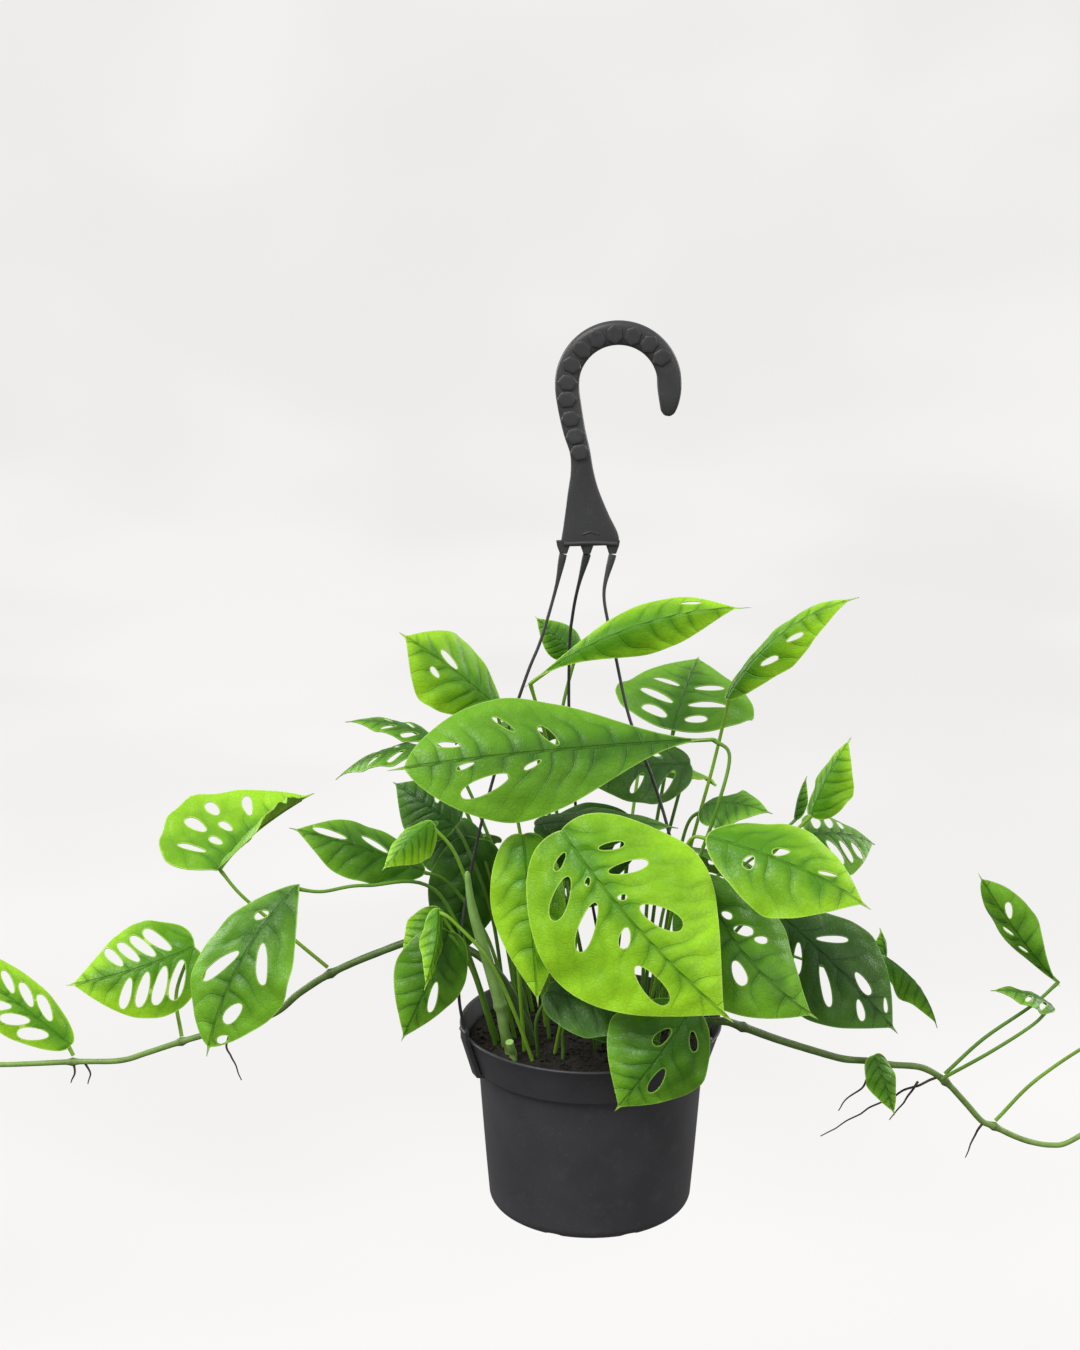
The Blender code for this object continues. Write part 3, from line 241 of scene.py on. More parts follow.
def leaf_paint(name, deep, light, margin, stalk):
    """A waxy blade with sunken dark veins and painted shade in the troughs beside them, lime towards
    its tip, with a pale rim and underside.

    growth holds the lane between two side veins, the distance from the midrib in millimetres and
    the nearness of an edge; glow rises towards the tip and the margin.
    """
    paint = Paint(name)
    lane, lateral, rim = paint.parts(paint.attribute("growth", "Vector"))
    under = paint.attribute("under")
    glow = paint.attribute("glow")
    age = paint.attribute("age")
    patches = paint.noise(45.0, 3.0, 0.6).rising(0.34, 0.68)
    fine = paint.noise(520.0, 2.0, 0.6)
    reach = abs(lateral)
    fade = 1.0 - reach.rising(4.0, 24.0) * 0.8
    from_vein = abs((lane + 0.5).fraction() - 0.5)
    vein = (1.0 - from_vein.rising(0.008, 0.045)) * fade
    trough = (1.0 - from_vein.rising(0.0, 0.3)) * fade
    midrib = 1.0 - reach.rising(0.35, 0.95)
    near_rib = 1.0 - reach.rising(0.6, 11.0)
    net = 1.0 - paint.cell_edges(300.0).rising(0.0, 0.1)
    # The trough term is painted shade in the troughs along the side veins; it leaves the quilted bulges
    # between them lighter, a painted highlight.
    lime = 0.06 + glow * 0.95 + patches * 0.26 + age * 0.42 - trough * 0.3 - near_rib * 0.34
    green = paint.mix(lime.clamped(), deep, light)
    green = paint.mix(net * 0.12, green, deep)
    green = paint.mix((vein * 0.26).most(midrib * 0.45), green, scaled(deep, 0.6))
    green = paint.mix(rim.rising(0.3, 1.0) * 0.85, green, margin)
    green = paint.mix(fine * 0.15, green, scaled(deep, 0.45))
    pale = [0.3 * m + 0.5 * l + 0.12 * d for m, l, d in zip(margin, light, deep)]
    below = paint.mix(vein * 0.45, paint.mix(patches * 0.4, pale, light), margin)
    blade = paint.mix(under, green, below)
    stem = paint.mix(patches, scaled(stalk, 0.8), stalk)
    colour = paint.mix(paint.attribute("stalk"), blade, stem)
    height = trough * -0.5 + vein * -0.4 + midrib * -0.8 + net * -0.16 + fine * 0.12
    return paint.finish(
        Base_Color=colour,
        Roughness=0.33 + fine * 0.14 + under * 0.22,
        Specular_IOR_Level=0.32,
        Normal=paint.bump(height, 0.0007, 0.75),
    )


def plastic_paint(name, colour):
    """Matt injection-moulded plastic: fine grain, faint scuffs and a little dust."""
    paint = Paint(name)
    grain = paint.noise(1900.0, 2.0, 0.6)
    cloud = paint.noise(17.0, 3.0, 0.55)
    scuff = 1.0 - paint.noise(95.0, 4.0, 0.7).rising(0.3, 0.46)
    dust = paint.noise(640.0, 1.0, 0.5).rising(0.66, 0.76)
    base = paint.mix(cloud.rising(0.3, 0.72), scaled(colour, 0.8), scaled(colour, 1.25))
    base = paint.mix(scuff * 0.18, base, scaled(colour, 2.2))
    base = paint.mix(dust * 0.16, base, (0.2, 0.19, 0.18))
    return paint.finish(
        Base_Color=base,
        Roughness=0.42 + grain * 0.1 + scuff * 0.1,
        Coat_Weight=0.2,
        Coat_Roughness=0.4,
        Normal=paint.bump(grain + cloud * 0.5, 0.00006, 0.6),
    )


def peat_paint(name, colour):
    """Damp peat: nearly black crumbs with brown fibres and the odd pale grain."""
    paint = Paint(name)
    lumps = paint.noise(240.0, 4.0, 0.65)
    fibres = paint.noise(900.0, 3.0, 0.7)
    grit = paint.noise(1300.0, 1.0, 0.5).rising(0.72, 0.78)
    base = paint.mix(lumps.rising(0.35, 0.7), scaled(colour, 0.5), scaled(colour, 2.4))
    base = paint.mix(fibres.rising(0.6, 0.75) * 0.5, base, (0.09, 0.05, 0.025))
    base = paint.mix(grit * 0.6, base, (0.3, 0.26, 0.2))
    height = lumps + fibres * 0.5
    return paint.finish(
        Base_Color=base, Roughness=0.8 + lumps * 0.18, Normal=paint.bump(height, 0.0012, 0.8)
    )


def stem_paint(name, old, young, root):
    """A stem: dark by the soil, paler towards its tip, ringed at its nodes, with brown roots."""
    paint = Paint(name)
    age = paint.attribute("age")
    joint = paint.attribute("joint")
    rooty = paint.attribute("root")
    streak = paint.noise(150.0, 3.0, 0.6)
    specks = paint.noise(900.0, 1.0, 0.5).rising(0.64, 0.74)
    green = paint.mix(age, old, young)
    green = paint.mix(streak.rising(0.35, 0.75) * 0.35, green, scaled(old, 0.55))
    green = paint.mix(specks * 0.3, green, [min(1.0, c * 1.7) for c in young])
    green = paint.mix(joint * 0.55, green, [0.6 * old[0] + 0.03, old[1] * 0.55, old[2] * 0.6])
    bark = paint.mix(streak.rising(0.3, 0.7), scaled(root, 0.5), scaled(root, 1.5))
    colour = paint.mix(rooty, green, bark)
    height = streak + paint.noise(1100.0, 2.0, 0.5) * 0.4
    return paint.finish(
        Base_Color=colour,
        Roughness=0.42 + rooty * 0.35 + streak * 0.1,
        Normal=paint.bump(height, 0.0002, 0.5),
    )


# Meshes

def new_piece(name, points, faces, material, node, sharp=40.0):
    """A smooth-shaded piece from points in metres, riding on the plant in a CAD node's place."""
    mesh = bpy.data.meshes.new(name)
    mesh.from_pydata([tuple(p) for p in points], [], [tuple(f) for f in faces])
    mesh.validate()
    mesh.materials.append(material)
    mesh.shade_smooth()
    mesh.set_sharp_from_angle(angle=math.radians(sharp))
    piece = bpy.data.objects.new(name, mesh)
    bpy.context.scene.collection.objects.link(piece)
    return hand_over(piece, node)


def hand_over(piece, node):
    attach(piece, "root")
    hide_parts(node)
    return piece


def add_attribute(piece, name, values, kind="FLOAT"):
    """Writes one value for each point, which the piece's paint reads."""
    layer = piece.data.attributes.new(name, kind, "POINT")
    key = "value" if kind == "FLOAT" else "vector"
    layer.data.foreach_set(key, np.asarray(values, np.float32).ravel())


def skin(rings, closed=False, first=0):
    """Faces over rings of equally many points, with a fan over each end, or closed as a torus."""
    count = len(rings[0])
    faces = []
    last = len(rings) if closed else len(rings) - 1
    for i in range(last):
        a = first + i * count
        b = first + ((i + 1) % len(rings)) * count
        faces += [(a + k, a + (k + 1) % count, b + (k + 1) % count, b + k) for k in range(count)]
    if not closed:
        faces.append(tuple(first + k for k in reversed(range(count))))
        faces.append(tuple(first + (len(rings) - 1) * count + k for k in range(count)))
    return faces


def smooth_route(route, steps):
    """Points along a Catmull-Rom curve through the route, with so many steps to each stretch."""
    ends = [2 * route[0] - route[1], *route, 2 * route[-1] - route[-2]]
    points = []
    for i in range(1, len(ends) - 2):
        before, a, b, after = ends[i - 1 : i + 3]
        for k in range(steps):
            t = k / steps
            points.append(
                0.5
                * (
                    2 * a
                    + (b - before) * t
                    + (2 * before - 5 * a + 4 * b - after) * t**2
                    + (3 * a - before - 3 * b + after) * t**3
                )
            )
    points.append(ends[-2])
    return points


def evenly(points, step):
    """The same line with its points a nearly even step apart, in metres."""
    lengths = [0.0]
    for a, b in zip(points, points[1:]):
        lengths.append(lengths[-1] + (b - a).length)
    count = max(2, round(lengths[-1] / step))
    line, i = [], 0
    for k in range(count + 1):
        goal = lengths[-1] * k / count
        while i < len(points) - 2 and lengths[i + 1] < goal:
            i += 1
        stretch = max(1e-9, lengths[i + 1] - lengths[i])
        line.append(points[i].lerp(points[i + 1], min(1.0, (goal - lengths[i]) / stretch)))
    return line


def along(values, t):
    """The value at t, from 0 to 1, along evenly spaced values."""
    place = t * (len(values) - 1)
    low = min(int(place), len(values) - 2)
    return values[low] + (values[low + 1] - values[low]) * (place - low)


def ring_of(count, place, way=1):
    """Points round a ring, each from place(cosine, sine) of its angle."""
    angles = [way * math.tau * k / count for k in range(count)]
    return [place(math.cos(a), math.sin(a)) for a in angles]


def squared(value, power):
    """A cosine or sine that makes a circle squarer as the power falls."""
    return math.copysign(abs(value) ** power, value)


def tube_rings(points, radii, sides):
    """Rings round a line in metres, each with its own radius in millimetres."""
    tangent = (points[1] - points[0]).normalized()
    across = tangent.orthogonal().normalized()
    rings = []
    for i, point in enumerate(points):
        before = points[max(i - 1, 0)]
        after = points[min(i + 1, len(points) - 1)]
        tangent = (after - before).normalized()
        across = (across - tangent * across.dot(tangent)).normalized()
        other = tangent.cross(across)
        radius = radii[i] * MM
        rings.append(ring_of(sides, lambda c, s: point + (across * c + other * s) * radius))
    return rings


class Shape:
    """Gathers closed skins and their point values into one mesh."""

    def __init__(self):
        self.points = []
        self.faces = []
        self.values = {}

    def add_rings(self, rings, closed=False, **values):
        """Adds a skin over rings, with each value given once or once for each ring."""
        count, first = len(rings[0]), len(self.points)
        self.points += [point for ring in rings for point in ring]
        self.faces += skin(rings, closed, first)
        for key, value in values.items():
            rows = self.values.setdefault(key, [])
            rows += [0.0] * (first - len(rows))
            each = value if hasattr(value, "__len__") else [value] * len(rings)
            rows += [number for number in each for _ in range(count)]
        for rows in self.values.values():
            rows += [0.0] * (len(self.points) - len(rows))

    def piece(self, name, material, slot, node, sharp=40.0):
        piece = new_piece(name, self.points, self.faces, material, node, sharp)
        for key, rows in self.values.items():
            add_attribute(piece, key, rows)
        return piece


def cut(piece, cutters):
    """Cuts loose closed objects out of a piece, then removes them."""
    group = bpy.data.collections.new(piece.name + "_cuts")
    for cutter in cutters:
        group.objects.link(cutter)
    modifier = piece.modifiers.new("cut", "BOOLEAN")
    modifier.operation = "DIFFERENCE"
    modifier.operand_type = "COLLECTION"
    modifier.collection = group
    modifier.solver = "EXACT"
    settle(piece)
    for cutter in cutters:
        bpy.data.objects.remove(cutter)
    bpy.data.collections.remove(group)


def settle(piece):
    """Turns a piece's modifiers into its mesh."""
    graph = bpy.context.evaluated_depsgraph_get()
    mesh = bpy.data.meshes.new_from_object(piece.evaluated_get(graph))
    piece.modifiers.clear()
    piece.data = mesh


def loose_block(name, rings):
    """A closed object that serves as a cutter."""
    mesh = bpy.data.meshes.new(name)
    mesh.from_pydata([tuple(p) for ring in rings for p in ring], [], skin(rings))
    block = bpy.data.objects.new(name, mesh)
    bpy.context.scene.collection.objects.link(block)
    return block


def turned_rings(profile, sides):
    """Rings round the pot's axis, one for each (radius, height)."""
    return [ring_of(sides, lambda c, s: at(radius * c, radius * s, z)) for radius, z in profile]


def corner(radius, height, size, first, last, steps):
    """Points round a corner's arc, as (radius, height), between two angles in degrees."""
    arc = []
    for k in range(steps + 1):
        angle = math.radians(first + (last - first) * k / steps)
        arc.append((radius + size * math.cos(angle), height + size * math.sin(angle)))
    return arc


# Pot and soil

POT_SIDES = 160
POT_SHARP = 32.0
SOIL_RINGS = 64
SOIL_SPOKES = 150


def pot_profile():
    """The wall's closed section as (radius, height), round the outside and back down the inside."""
    floor = -POT_HEIGHT + FLOOR_RAISE
    corner_middle = BODY_BOTTOM_RADIUS - CORNER_RADIUS
    foot_inside = corner_middle - FOOT_WIDTH
    return [
        (0.6, floor),
        (foot_inside, floor),
        *corner(foot_inside + 0.6, -POT_HEIGHT + 0.6, 0.6, 180.0, 270.0, 3),
        *corner(corner_middle, -POT_HEIGHT + CORNER_RADIUS, CORNER_RADIUS, -88.0, 0.0, 9),
        *(
            (BODY_BOTTOM_RADIUS + (BODY_TOP_RADIUS - BODY_BOTTOM_RADIUS) * k / 8.0, h)
            for k, h in ((2, -86.0), (4, -66.0), (6, -45.0))
        ),
        (BODY_TOP_RADIUS, -LIP_HEIGHT - 1.4),
        *corner(BODY_TOP_RADIUS + 0.8, -LIP_HEIGHT - 1.4, 0.8, 180.0, 90.0, 3),
        *corner(LIP_BOTTOM_RADIUS - 0.7, -LIP_HEIGHT + 0.1, 0.7, -80.0, -10.0, 3),
        (LIP_BOTTOM_RADIUS + 0.2, -LIP_HEIGHT + 1.2),
        (RIM_RADIUS - 3.4, -10.5),
        (RIM_RADIUS - 0.9, -2.6),
        *corner(RIM_RADIUS - 0.8, -1.2, 0.8, -20.0, 90.0, 5),
        *corner(RIM_RADIUS - WALL + 0.6, -1.0, 0.6, 90.0, 180.0, 3),
        (RIM_RADIUS - WALL - 0.5, -3.0),
        (RIM_RADIUS - WALL - 3.2, -10.5),
        (LIP_BOTTOM_RADIUS - WALL, -LIP_HEIGHT + WALL),
        (BODY_TOP_RADIUS - WALL, -LIP_HEIGHT - 0.6),
        *corner(corner_middle, floor + CORNER_RADIUS, CORNER_RADIUS - WALL, 0.0, -90.0, 6),
        (0.6, floor + WALL),
    ]


def foot_notch(angle):
    """A block that cuts one gap between two feet out of the ring under the base."""
    inner = BODY_BOTTOM_RADIUS - CORNER_RADIUS - 7.0
    outer = BODY_BOTTOM_RADIUS + 4.0
    out = Vector((math.cos(angle), math.sin(angle)))
    side = Vector((-out.y, out.x))
    rings = []
    for reach in (inner, outer):
        ring = []
        for k in range(13):
            turn = math.pi * k / 12
            across = math.cos(turn) * FOOT_NOTCH_WIDTH / 2
            rise = -POT_HEIGHT - 2.0 + (1.6 + FLOOR_RAISE) * math.sin(turn) ** 0.45
            spot = out * reach + side * across
            ring.append(at(spot.x, spot.y, rise))
        rings.append(ring)
    return loose_block("notch", rings)


def drain_cutter(angle, floor):
    """A block that cuts one round drain hole through the floor."""
    x, y = DRAIN_RING * math.cos(angle), DRAIN_RING * math.sin(angle)
    rings = []
    for z in (floor - 1.0, floor + WALL + 1.0):
        rings.append(ring_of(28, lambda c, s: at(x + DRAIN_RADIUS * c, y + DRAIN_RADIUS * s, z), -1))
    return loose_block("drain", rings)


def make_pot(material):
    """The wall turned in one piece over its closed floor, with the feet and drain holes cut."""
    floor = -POT_HEIGHT + FLOOR_RAISE
    wall = Shape()
    wall.add_rings(turned_rings(pot_profile(), POT_SIDES), closed=True)
    # A plug closes the pin hole that the turned wall leaves at its axis
    plug = [(4.0, floor), (4.0, floor + WALL)]
    wall.add_rings(turned_rings(plug, 24))
    pot = wall.piece("pot_body", material, "pot_plastic", "pot", POT_SHARP)
    cutters = [foot_notch(math.tau * (k + 0.5) / FOOT_COUNT) for k in range(FOOT_COUNT)]
    cutters += [drain_cutter(math.tau * k / DRAIN_COUNT, floor) for k in range(DRAIN_COUNT)]
    cut(pot, cutters)
    pot.data.set_sharp_from_angle(angle=math.radians(POT_SHARP))
    return pot


def soil_height(x, y):
    """How high the crumbly surface stands over the soil's level, in millimetres."""
    place = Vector((x, y, 3.0))
    height = noise.fractal(place * 0.07, 1.0, 2.0, 2) * 1.5
    height += noise.turbulence(place * 0.3, 3, True) * 1.6
    return height + noise.noise(place * 1.1) * 0.5


def make_soil(material, crumb_size):
    """The peat: its crumbly top, its hidden sides and base, and loose crumbs and fibres."""
    inside = WALL + GAP + 0.1
    slope = (RIM_RADIUS - 0.8 - LIP_BOTTOM_RADIUS) / (LIP_HEIGHT - 3.0)
    top_radius = LIP_BOTTOM_RADIUS - 0.3 - inside + slope * (SOIL_TOP + LIP_HEIGHT - WALL)
    floor = -POT_HEIGHT + FLOOR_RAISE + WALL + GAP
    sides = [
        (0.6, floor),
        (BODY_BOTTOM_RADIUS - CORNER_RADIUS - 1.0, floor),
        (BODY_BOTTOM_RADIUS - inside, floor + CORNER_RADIUS),
        (BODY_TOP_RADIUS - inside, -LIP_HEIGHT - 0.4),
        (LIP_BOTTOM_RADIUS - inside - 0.1, -LIP_HEIGHT + WALL + 0.4),
    ]
    rings = turned_rings(sides, SOIL_SPOKES)
    for i in range(SOIL_RINGS + 1):
        share = 1.0 - i / SOIL_RINGS
        radius = 0.6 + (top_radius - 0.6) * share
        ring = []
        for k in range(SOIL_SPOKES):
            turn = math.tau * k / SOIL_SPOKES
            x, y = radius * math.cos(turn), radius * math.sin(turn)
            edge = max(0.0, (radius - top_radius + 5.0) / 5.0)
            height = soil_height(x, y) * (1.0 - edge) - 1.4 * edge
            ring.append(at(x, y, SOIL_TOP + SOIL_LIFT + height))
        rings.append(ring)
    peat = Shape()
    peat.add_rings(rings)
    draw = random.Random(SOIL_SEED)
    for _ in range(CRUMB_COUNT):
        add_crumb(peat, draw, top_radius - 4.0, crumb_size)
    for _ in range(FIBRE_COUNT):
        add_fibre(peat, draw, top_radius - 8.0)
    return peat.piece("soil_peat", material, "peat", "soil", 60.0)


def add_crumb(peat, draw, reach, size):
    """One loose lump of peat, half sunk in the surface."""
    turn, flat = draw.uniform(0, math.tau), reach * math.sqrt(draw.random())
    x, y = flat * math.cos(turn), flat * math.sin(turn)
    radius = size / MM * draw.uniform(0.45, 1.35)
    centre = Vector((x, y, SOIL_TOP + SOIL_LIFT + soil_height(x, y) + radius * 0.3))
    squash = Vector((draw.uniform(0.7, 1.2), draw.uniform(0.7, 1.2), draw.uniform(0.5, 0.9)))

    def lump(way):
        bump = radius * (1.0 + 0.3 * noise.noise(way * 1.7 + centre))
        return at(*(centre + way * squash * bump))

    rings = []
    for i in range(1, 6):
        polar = math.pi * (1.0 - i / 6)
        level, rise = math.sin(polar), math.cos(polar)
        rings.append(ring_of(8, lambda c, s: lump(Vector((level * c, level * s, rise)))))
    peat.add_rings(rings)


def add_fibre(peat, draw, reach):
    """One thin brown root hair lying on the peat."""
    turn, flat = draw.uniform(0, math.tau), reach * math.sqrt(draw.random())
    heading, length = draw.uniform(0, math.tau), draw.uniform(5.0, 14.0)
    line = []
    for k in range(6):
        bend = heading + 0.5 * math.sin(k * 1.3 + turn)
        x = flat * math.cos(turn) + length * k / 5 * math.cos(bend)
        y = flat * math.sin(turn) + length * k / 5 * math.sin(bend)
        if math.hypot(x, y) > reach + 4.0:
            break
        line.append(at(x, y, SOIL_TOP + 1.5 + soil_height(x, y) + 0.5 * math.sin(k)))
    if len(line) > 2:
        points = smooth_route(line, 2)
        peat.add_rings(tube_rings(points, [0.22] * len(points), 5))


# Hanger

def hook_section(place, run, width, thickness):
    """A ring round the moulded band: a flat face front and back with well rounded sides."""
    out = Vector((run.z, 0.0, -run.x))

    def edge(c, s):
        across = squared(c, BAND_SQUARENESS) * width / 2
        deep = squared(s, BAND_SQUARENESS) * thickness / 2
        return at(*(place + out * across + Vector((0.0, deep, 0.0))))

    return ring_of(28, edge)


def hook_line():
    """The band's middle, from its tip to the foot of the plate: (place, width, thickness)."""
    centre = Vector(HOOK_CENTRE)
    radius = HOOK_INNER_RADIUS + HOOK_BAND / 2
    line = [
        (centre + Vector((26.5, 0.0, -16.5)), 5.0, 5.0),
        (centre + Vector((26.8, 0.0, -14.5)), 8.0, 6.5),
        (centre + Vector((27.4, 0.0, -9.0)), 11.0, HOOK_THICKNESS),
    ]
    for k in range(11):
        angle = math.radians(-4.0 + 188.0 * k / 10)
        turn = Vector((math.cos(angle), 0.0, math.sin(angle)))
        line.append((centre + turn * radius, HOOK_BAND, HOOK_THICKNESS))
    line += [
        (Vector((-13.0, 0.0, 353.0)), 12.8, HOOK_THICKNESS),
        (Vector((-10.4, 0.0, 340.0)), 12.0, HOOK_THICKNESS),
        (Vector((-7.4, 0.0, 329.0)), 11.0, 7.0),
        (Vector((-6.2, 0.0, 318.0)), 12.5, 5.5),
        (Vector((-5.4, 0.0, 306.0)), 17.5, 4.5),
        (Vector((-3.6, 0.0, 292.0)), 25.0, 4.0),
        (Vector((-2.0, 0.0, 281.5)), 31.5, 4.0),
        (Vector((-1.8, 0.0, 277.5)), 31.0, 4.0),
    ]
    return line


def hook_band():
    """The band's rings, with its line, width and thickness smoothed."""
    line = hook_line()
    places = smooth_route([p for p, _, _ in line], 6)
    sizes = smooth_route([Vector((w, t, 0.0)) for _, w, t in line], 6)
    rings = []
    for i, (place, size) in enumerate(zip(places, sizes)):
        run = (places[min(i + 1, len(places) - 1)] - places[max(i - 1, 0)]).normalized()
        rings.append(hook_section(place, run, size.x, size.y))
    first = [r.lerp(sum(rings[0], Vector()) / len(rings[0]), 0.45) for r in rings[0]]
    inward = (places[1] - places[0]).normalized() * -0.7 * MM
    return [[p + inward for p in first], *rings]


# Grip pads down the straight part of the band: x, z and its lean in degrees
SHANK_PADS = ((-14.6, 358.2, 4.0), (-12.6, 347.8, 12.0), (-10.0, 338.4, 14.0), (-7.6, 329.6, 10.0))


def grip_pads():
    """(place, run) of each raised pad on the front of the band."""
    centre = Vector(HOOK_CENTRE)
    radius = HOOK_INNER_RADIUS + HOOK_BAND / 2 - 0.2
    pads = []
    for k in range(BAND_PADS):
        angle = math.radians(FIRST_PAD + PAD_TURN * k)
        out = Vector((math.cos(angle), 0.0, math.sin(angle)))
        pads.append((centre + out * radius, Vector((-out.z, 0.0, out.x))))
    for x, z, lean in SHANK_PADS:
        turn = math.radians(lean)
        pads.append((Vector((x, 0.0, z)), Vector((math.sin(turn), 0.0, -math.cos(turn)))))
    return pads


def add_pad(hook, place, run, face):
    """One raised pad: a soft hexagon with sloping sides, sunk a little into the band."""
    out = Vector((run.z, 0.0, -run.x))
    rings = []
    for depth, scale in ((1.0, 1.0), (-0.5, 1.0), (-0.85, 0.95), (-1.0, 0.86), (-1.05, 0.5)):
        ring = []
        for j in range(24):
            turn = math.tau * j / 24
            from_corner = (turn + math.pi / 6) % (math.pi / 3) - math.pi / 6
            pull = 1.0 / max(math.cos(from_corner), 0.87)
            along_run = math.cos(turn) * PAD_HALF_LENGTH * pull * scale
            across = math.sin(turn) * PAD_HALF_WIDTH * pull * scale
            spot = place + run * along_run + out * across
            ring.append(at(spot.x, face * (HOOK_THICKNESS / 2 - 0.1 - depth), spot.z))
        rings.append(ring if face > 0 else ring[::-1])
    hook.add_rings(rings)


def make_hook(material):
    hook = Shape()
    hook.add_rings(hook_band())
    for place, run in grip_pads():
        add_pad(hook, place, run, -1)
    # A ridge along the plate's lower edge, a short bar over it and the strands' three thick roots
    ridge = [at(x, -2.2, PLATE_FOOT + 0.25 * math.cos(x / 5.0)) for x in range(-16, 14)]
    hook.add_rings(tube_rings(ridge, [1.3] * len(ridge), 10))
    bar = [at(x, -2.0, PLATE_FOOT + 6.5 - 0.35 * abs(x + 1.5)) for x in range(-6, 4)]
    hook.add_rings(tube_rings(bar, [0.5] * len(bar), 8))
    for x in STRAND_ROOTS:
        rings = []
        for z, taper in ((280.0, 0.0), (277.0, 0.5), (274.5, 1.4), (273.0, 1.9)):
            half = STRAND_ROOT_WIDTH / 2 - taper
            rings.append(
                ring_of(16, lambda c, s: at(x + squared(c, 0.7) * half, squared(s, 0.7) * 1.9, z), -1)
            )
        hook.add_rings(rings)
    return hook.piece("hanger_crook", material, "pot_plastic", "hanger_hook", 50.0)


STRAND_ROUTES = {
    "strand_left": [
        (-16.4, 0, 272.3), (-20.5, -2, 253), (-28.5, -7, 226), (-36.5, -10, 206), (-52, -15, 159),
        (-65, -21, 109), (-72.5, -26, 64), (-74.5, -28, 28), (-74.0, -28.5, 3.5),
    ],
    "strand_back": [
        (-3.4, 0, 272.3), (-8.5, 5, 251), (-11, 11, 235), (-12.5, 16, 217), (-12.5, 28, 171),
        (-9, 42, 119), (-1, 60, 64), (6, 76, 20), (8, 79.5, 3.5),
    ],
    "strand_right": [
        (10.6, 0, 272.3), (6, -4, 253), (8, -8, 237), (11.5, -12, 222), (20, -20, 185),
        (34, -28, 149), (44, -35, 114), (55, -42, 58), (64, -46, 20), (66.0, -44.6, 3.5),
    ],
}


def clip_outline():
    """The clip's side view as (radius, height): it stands outside the lip with a tooth under it."""
    lean = (RIM_RADIUS - LIP_BOTTOM_RADIUS) / LIP_HEIGHT
    return [
        (RIM_RADIUS + GAP, CLIP_TOP),
        (RIM_RADIUS + GAP, -1.0),
        (LIP_BOTTOM_RADIUS + GAP + 0.5, -LIP_HEIGHT - GAP + 1.0),
        (LIP_BOTTOM_RADIUS + GAP + 0.2, -LIP_HEIGHT - GAP),
        (BODY_TOP_RADIUS + 2 * GAP, -LIP_HEIGHT - 3 * GAP),
        (BODY_TOP_RADIUS + 2 * GAP, -LIP_HEIGHT - 3.0),
        (LIP_BOTTOM_RADIUS + 2.4 + lean, -LIP_HEIGHT - 2.0),
        (RIM_RADIUS + 2.6, -1.0),
        (RIM_RADIUS + 2.6, CLIP_TOP),
    ]


def clip_rings(angle):
    """The clip as slices across its width, with smaller end slices for rounded edges."""
    out = Vector((math.cos(angle), math.sin(angle)))
    side = Vector((-out.y, out.x))
    outline = clip_outline()
    middle = sum((Vector(p) for p in outline), Vector((0.0, 0.0))) / len(outline)
    rings = []
    for offset, scale in ((-0.5, 0.97), (-0.44, 1.0), (0.44, 1.0), (0.5, 0.97)):
        ring = []
        for radius, z in outline:
            place = middle + (Vector((radius, z)) - middle) * scale
            spot = out * place.x + side * (offset * CLIP_WIDTH)
            ring.append(at(spot.x, spot.y, place.y))
        rings.append(ring)
    return rings


def make_strand(name, radius, material):
    """One strand, thicker under the plate, with its clip and the bar over it."""
    route = [Vector(place) for place in STRAND_ROUTES[name]]
    foot = route[-1]
    angle = math.atan2(foot.y, foot.x)
    reach = RIM_RADIUS + GAP + 1.3
    route[-1] = Vector((reach * math.cos(angle), reach * math.sin(angle), foot.z))
    points = evenly(smooth_route([at(*place) for place in route], 8), STRAND_STEP * MM)
    thin = radius / MM
    radii = [thin + 1.3 * math.exp(-((STRAND_STEP * i / 12.0) ** 2)) for i in range(len(points))]
    strand = Shape()
    strand.add_rings(tube_rings(points, radii, 12))
    strand.add_rings(clip_rings(angle))
    out = Vector((math.cos(angle), math.sin(angle)))
    side = Vector((-out.y, out.x))
    bar = []
    for k in range(9):
        spot = out * (RIM_RADIUS + 1.9) + side * (k / 8 - 0.5) * (CLIP_WIDTH + 1.0)
        bar.append(at(spot.x, spot.y, CLIP_TOP - 0.8))
    strand.add_rings(tube_rings(bar, [1.1, *[1.5] * 7, 1.1], 12))
    return strand.piece(name + "_moulded", material, "pot_plastic", name, 40.0)


# Leaves

EDGE_STEP = 2.4
GRID_STEP = 2.7
FINE_GRID_STEP = 2.1
RIB_STEP = 2.4
RIB_SIDE = 1.3
RIM_WIDTH = 1.3
STALK_STEP = 2.0
BODY_SHARE = 0.95
DRIP_TAPER = 0.24
NARROWEST = 0.3


@dataclass
class Leaf:
    """One leaf: places in millimetres, angles in degrees.

    face is the way its upper side looks. fold is how far each half drops from the midrib and cup
    how much further it has dropped at the margin; bow lifts the middle of the midrib and droop
    lowers its last third. belly is where along it the blade is widest and lobe how far its two
    shoulders reach back past the stalk; a smaller point is blunter and a larger neck draws the
    blade out by its stalk. Each hole is (share, reach, share, reach, girth): its inner and its
    outer end, as shares of the length and of half the width, left of the midrib above zero, and
    its width in millimetres.
    """

    base: tuple
    tip: tuple
    width: float
    face: tuple
    route: tuple
    holes: tuple = ()
    fold: float = 12.0
    cup: float = 18.0
    bow: float = 5.0
    droop: float = 0.0
    sweep: float = 0.0
    twist: float = 0.0
    wave: float = 1.5
    belly: float = 0.38
    lobe: float = 0.05
    point: float = 0.3
    neck: float = 0.72
    tone: str = "green"
    stem: str = ""


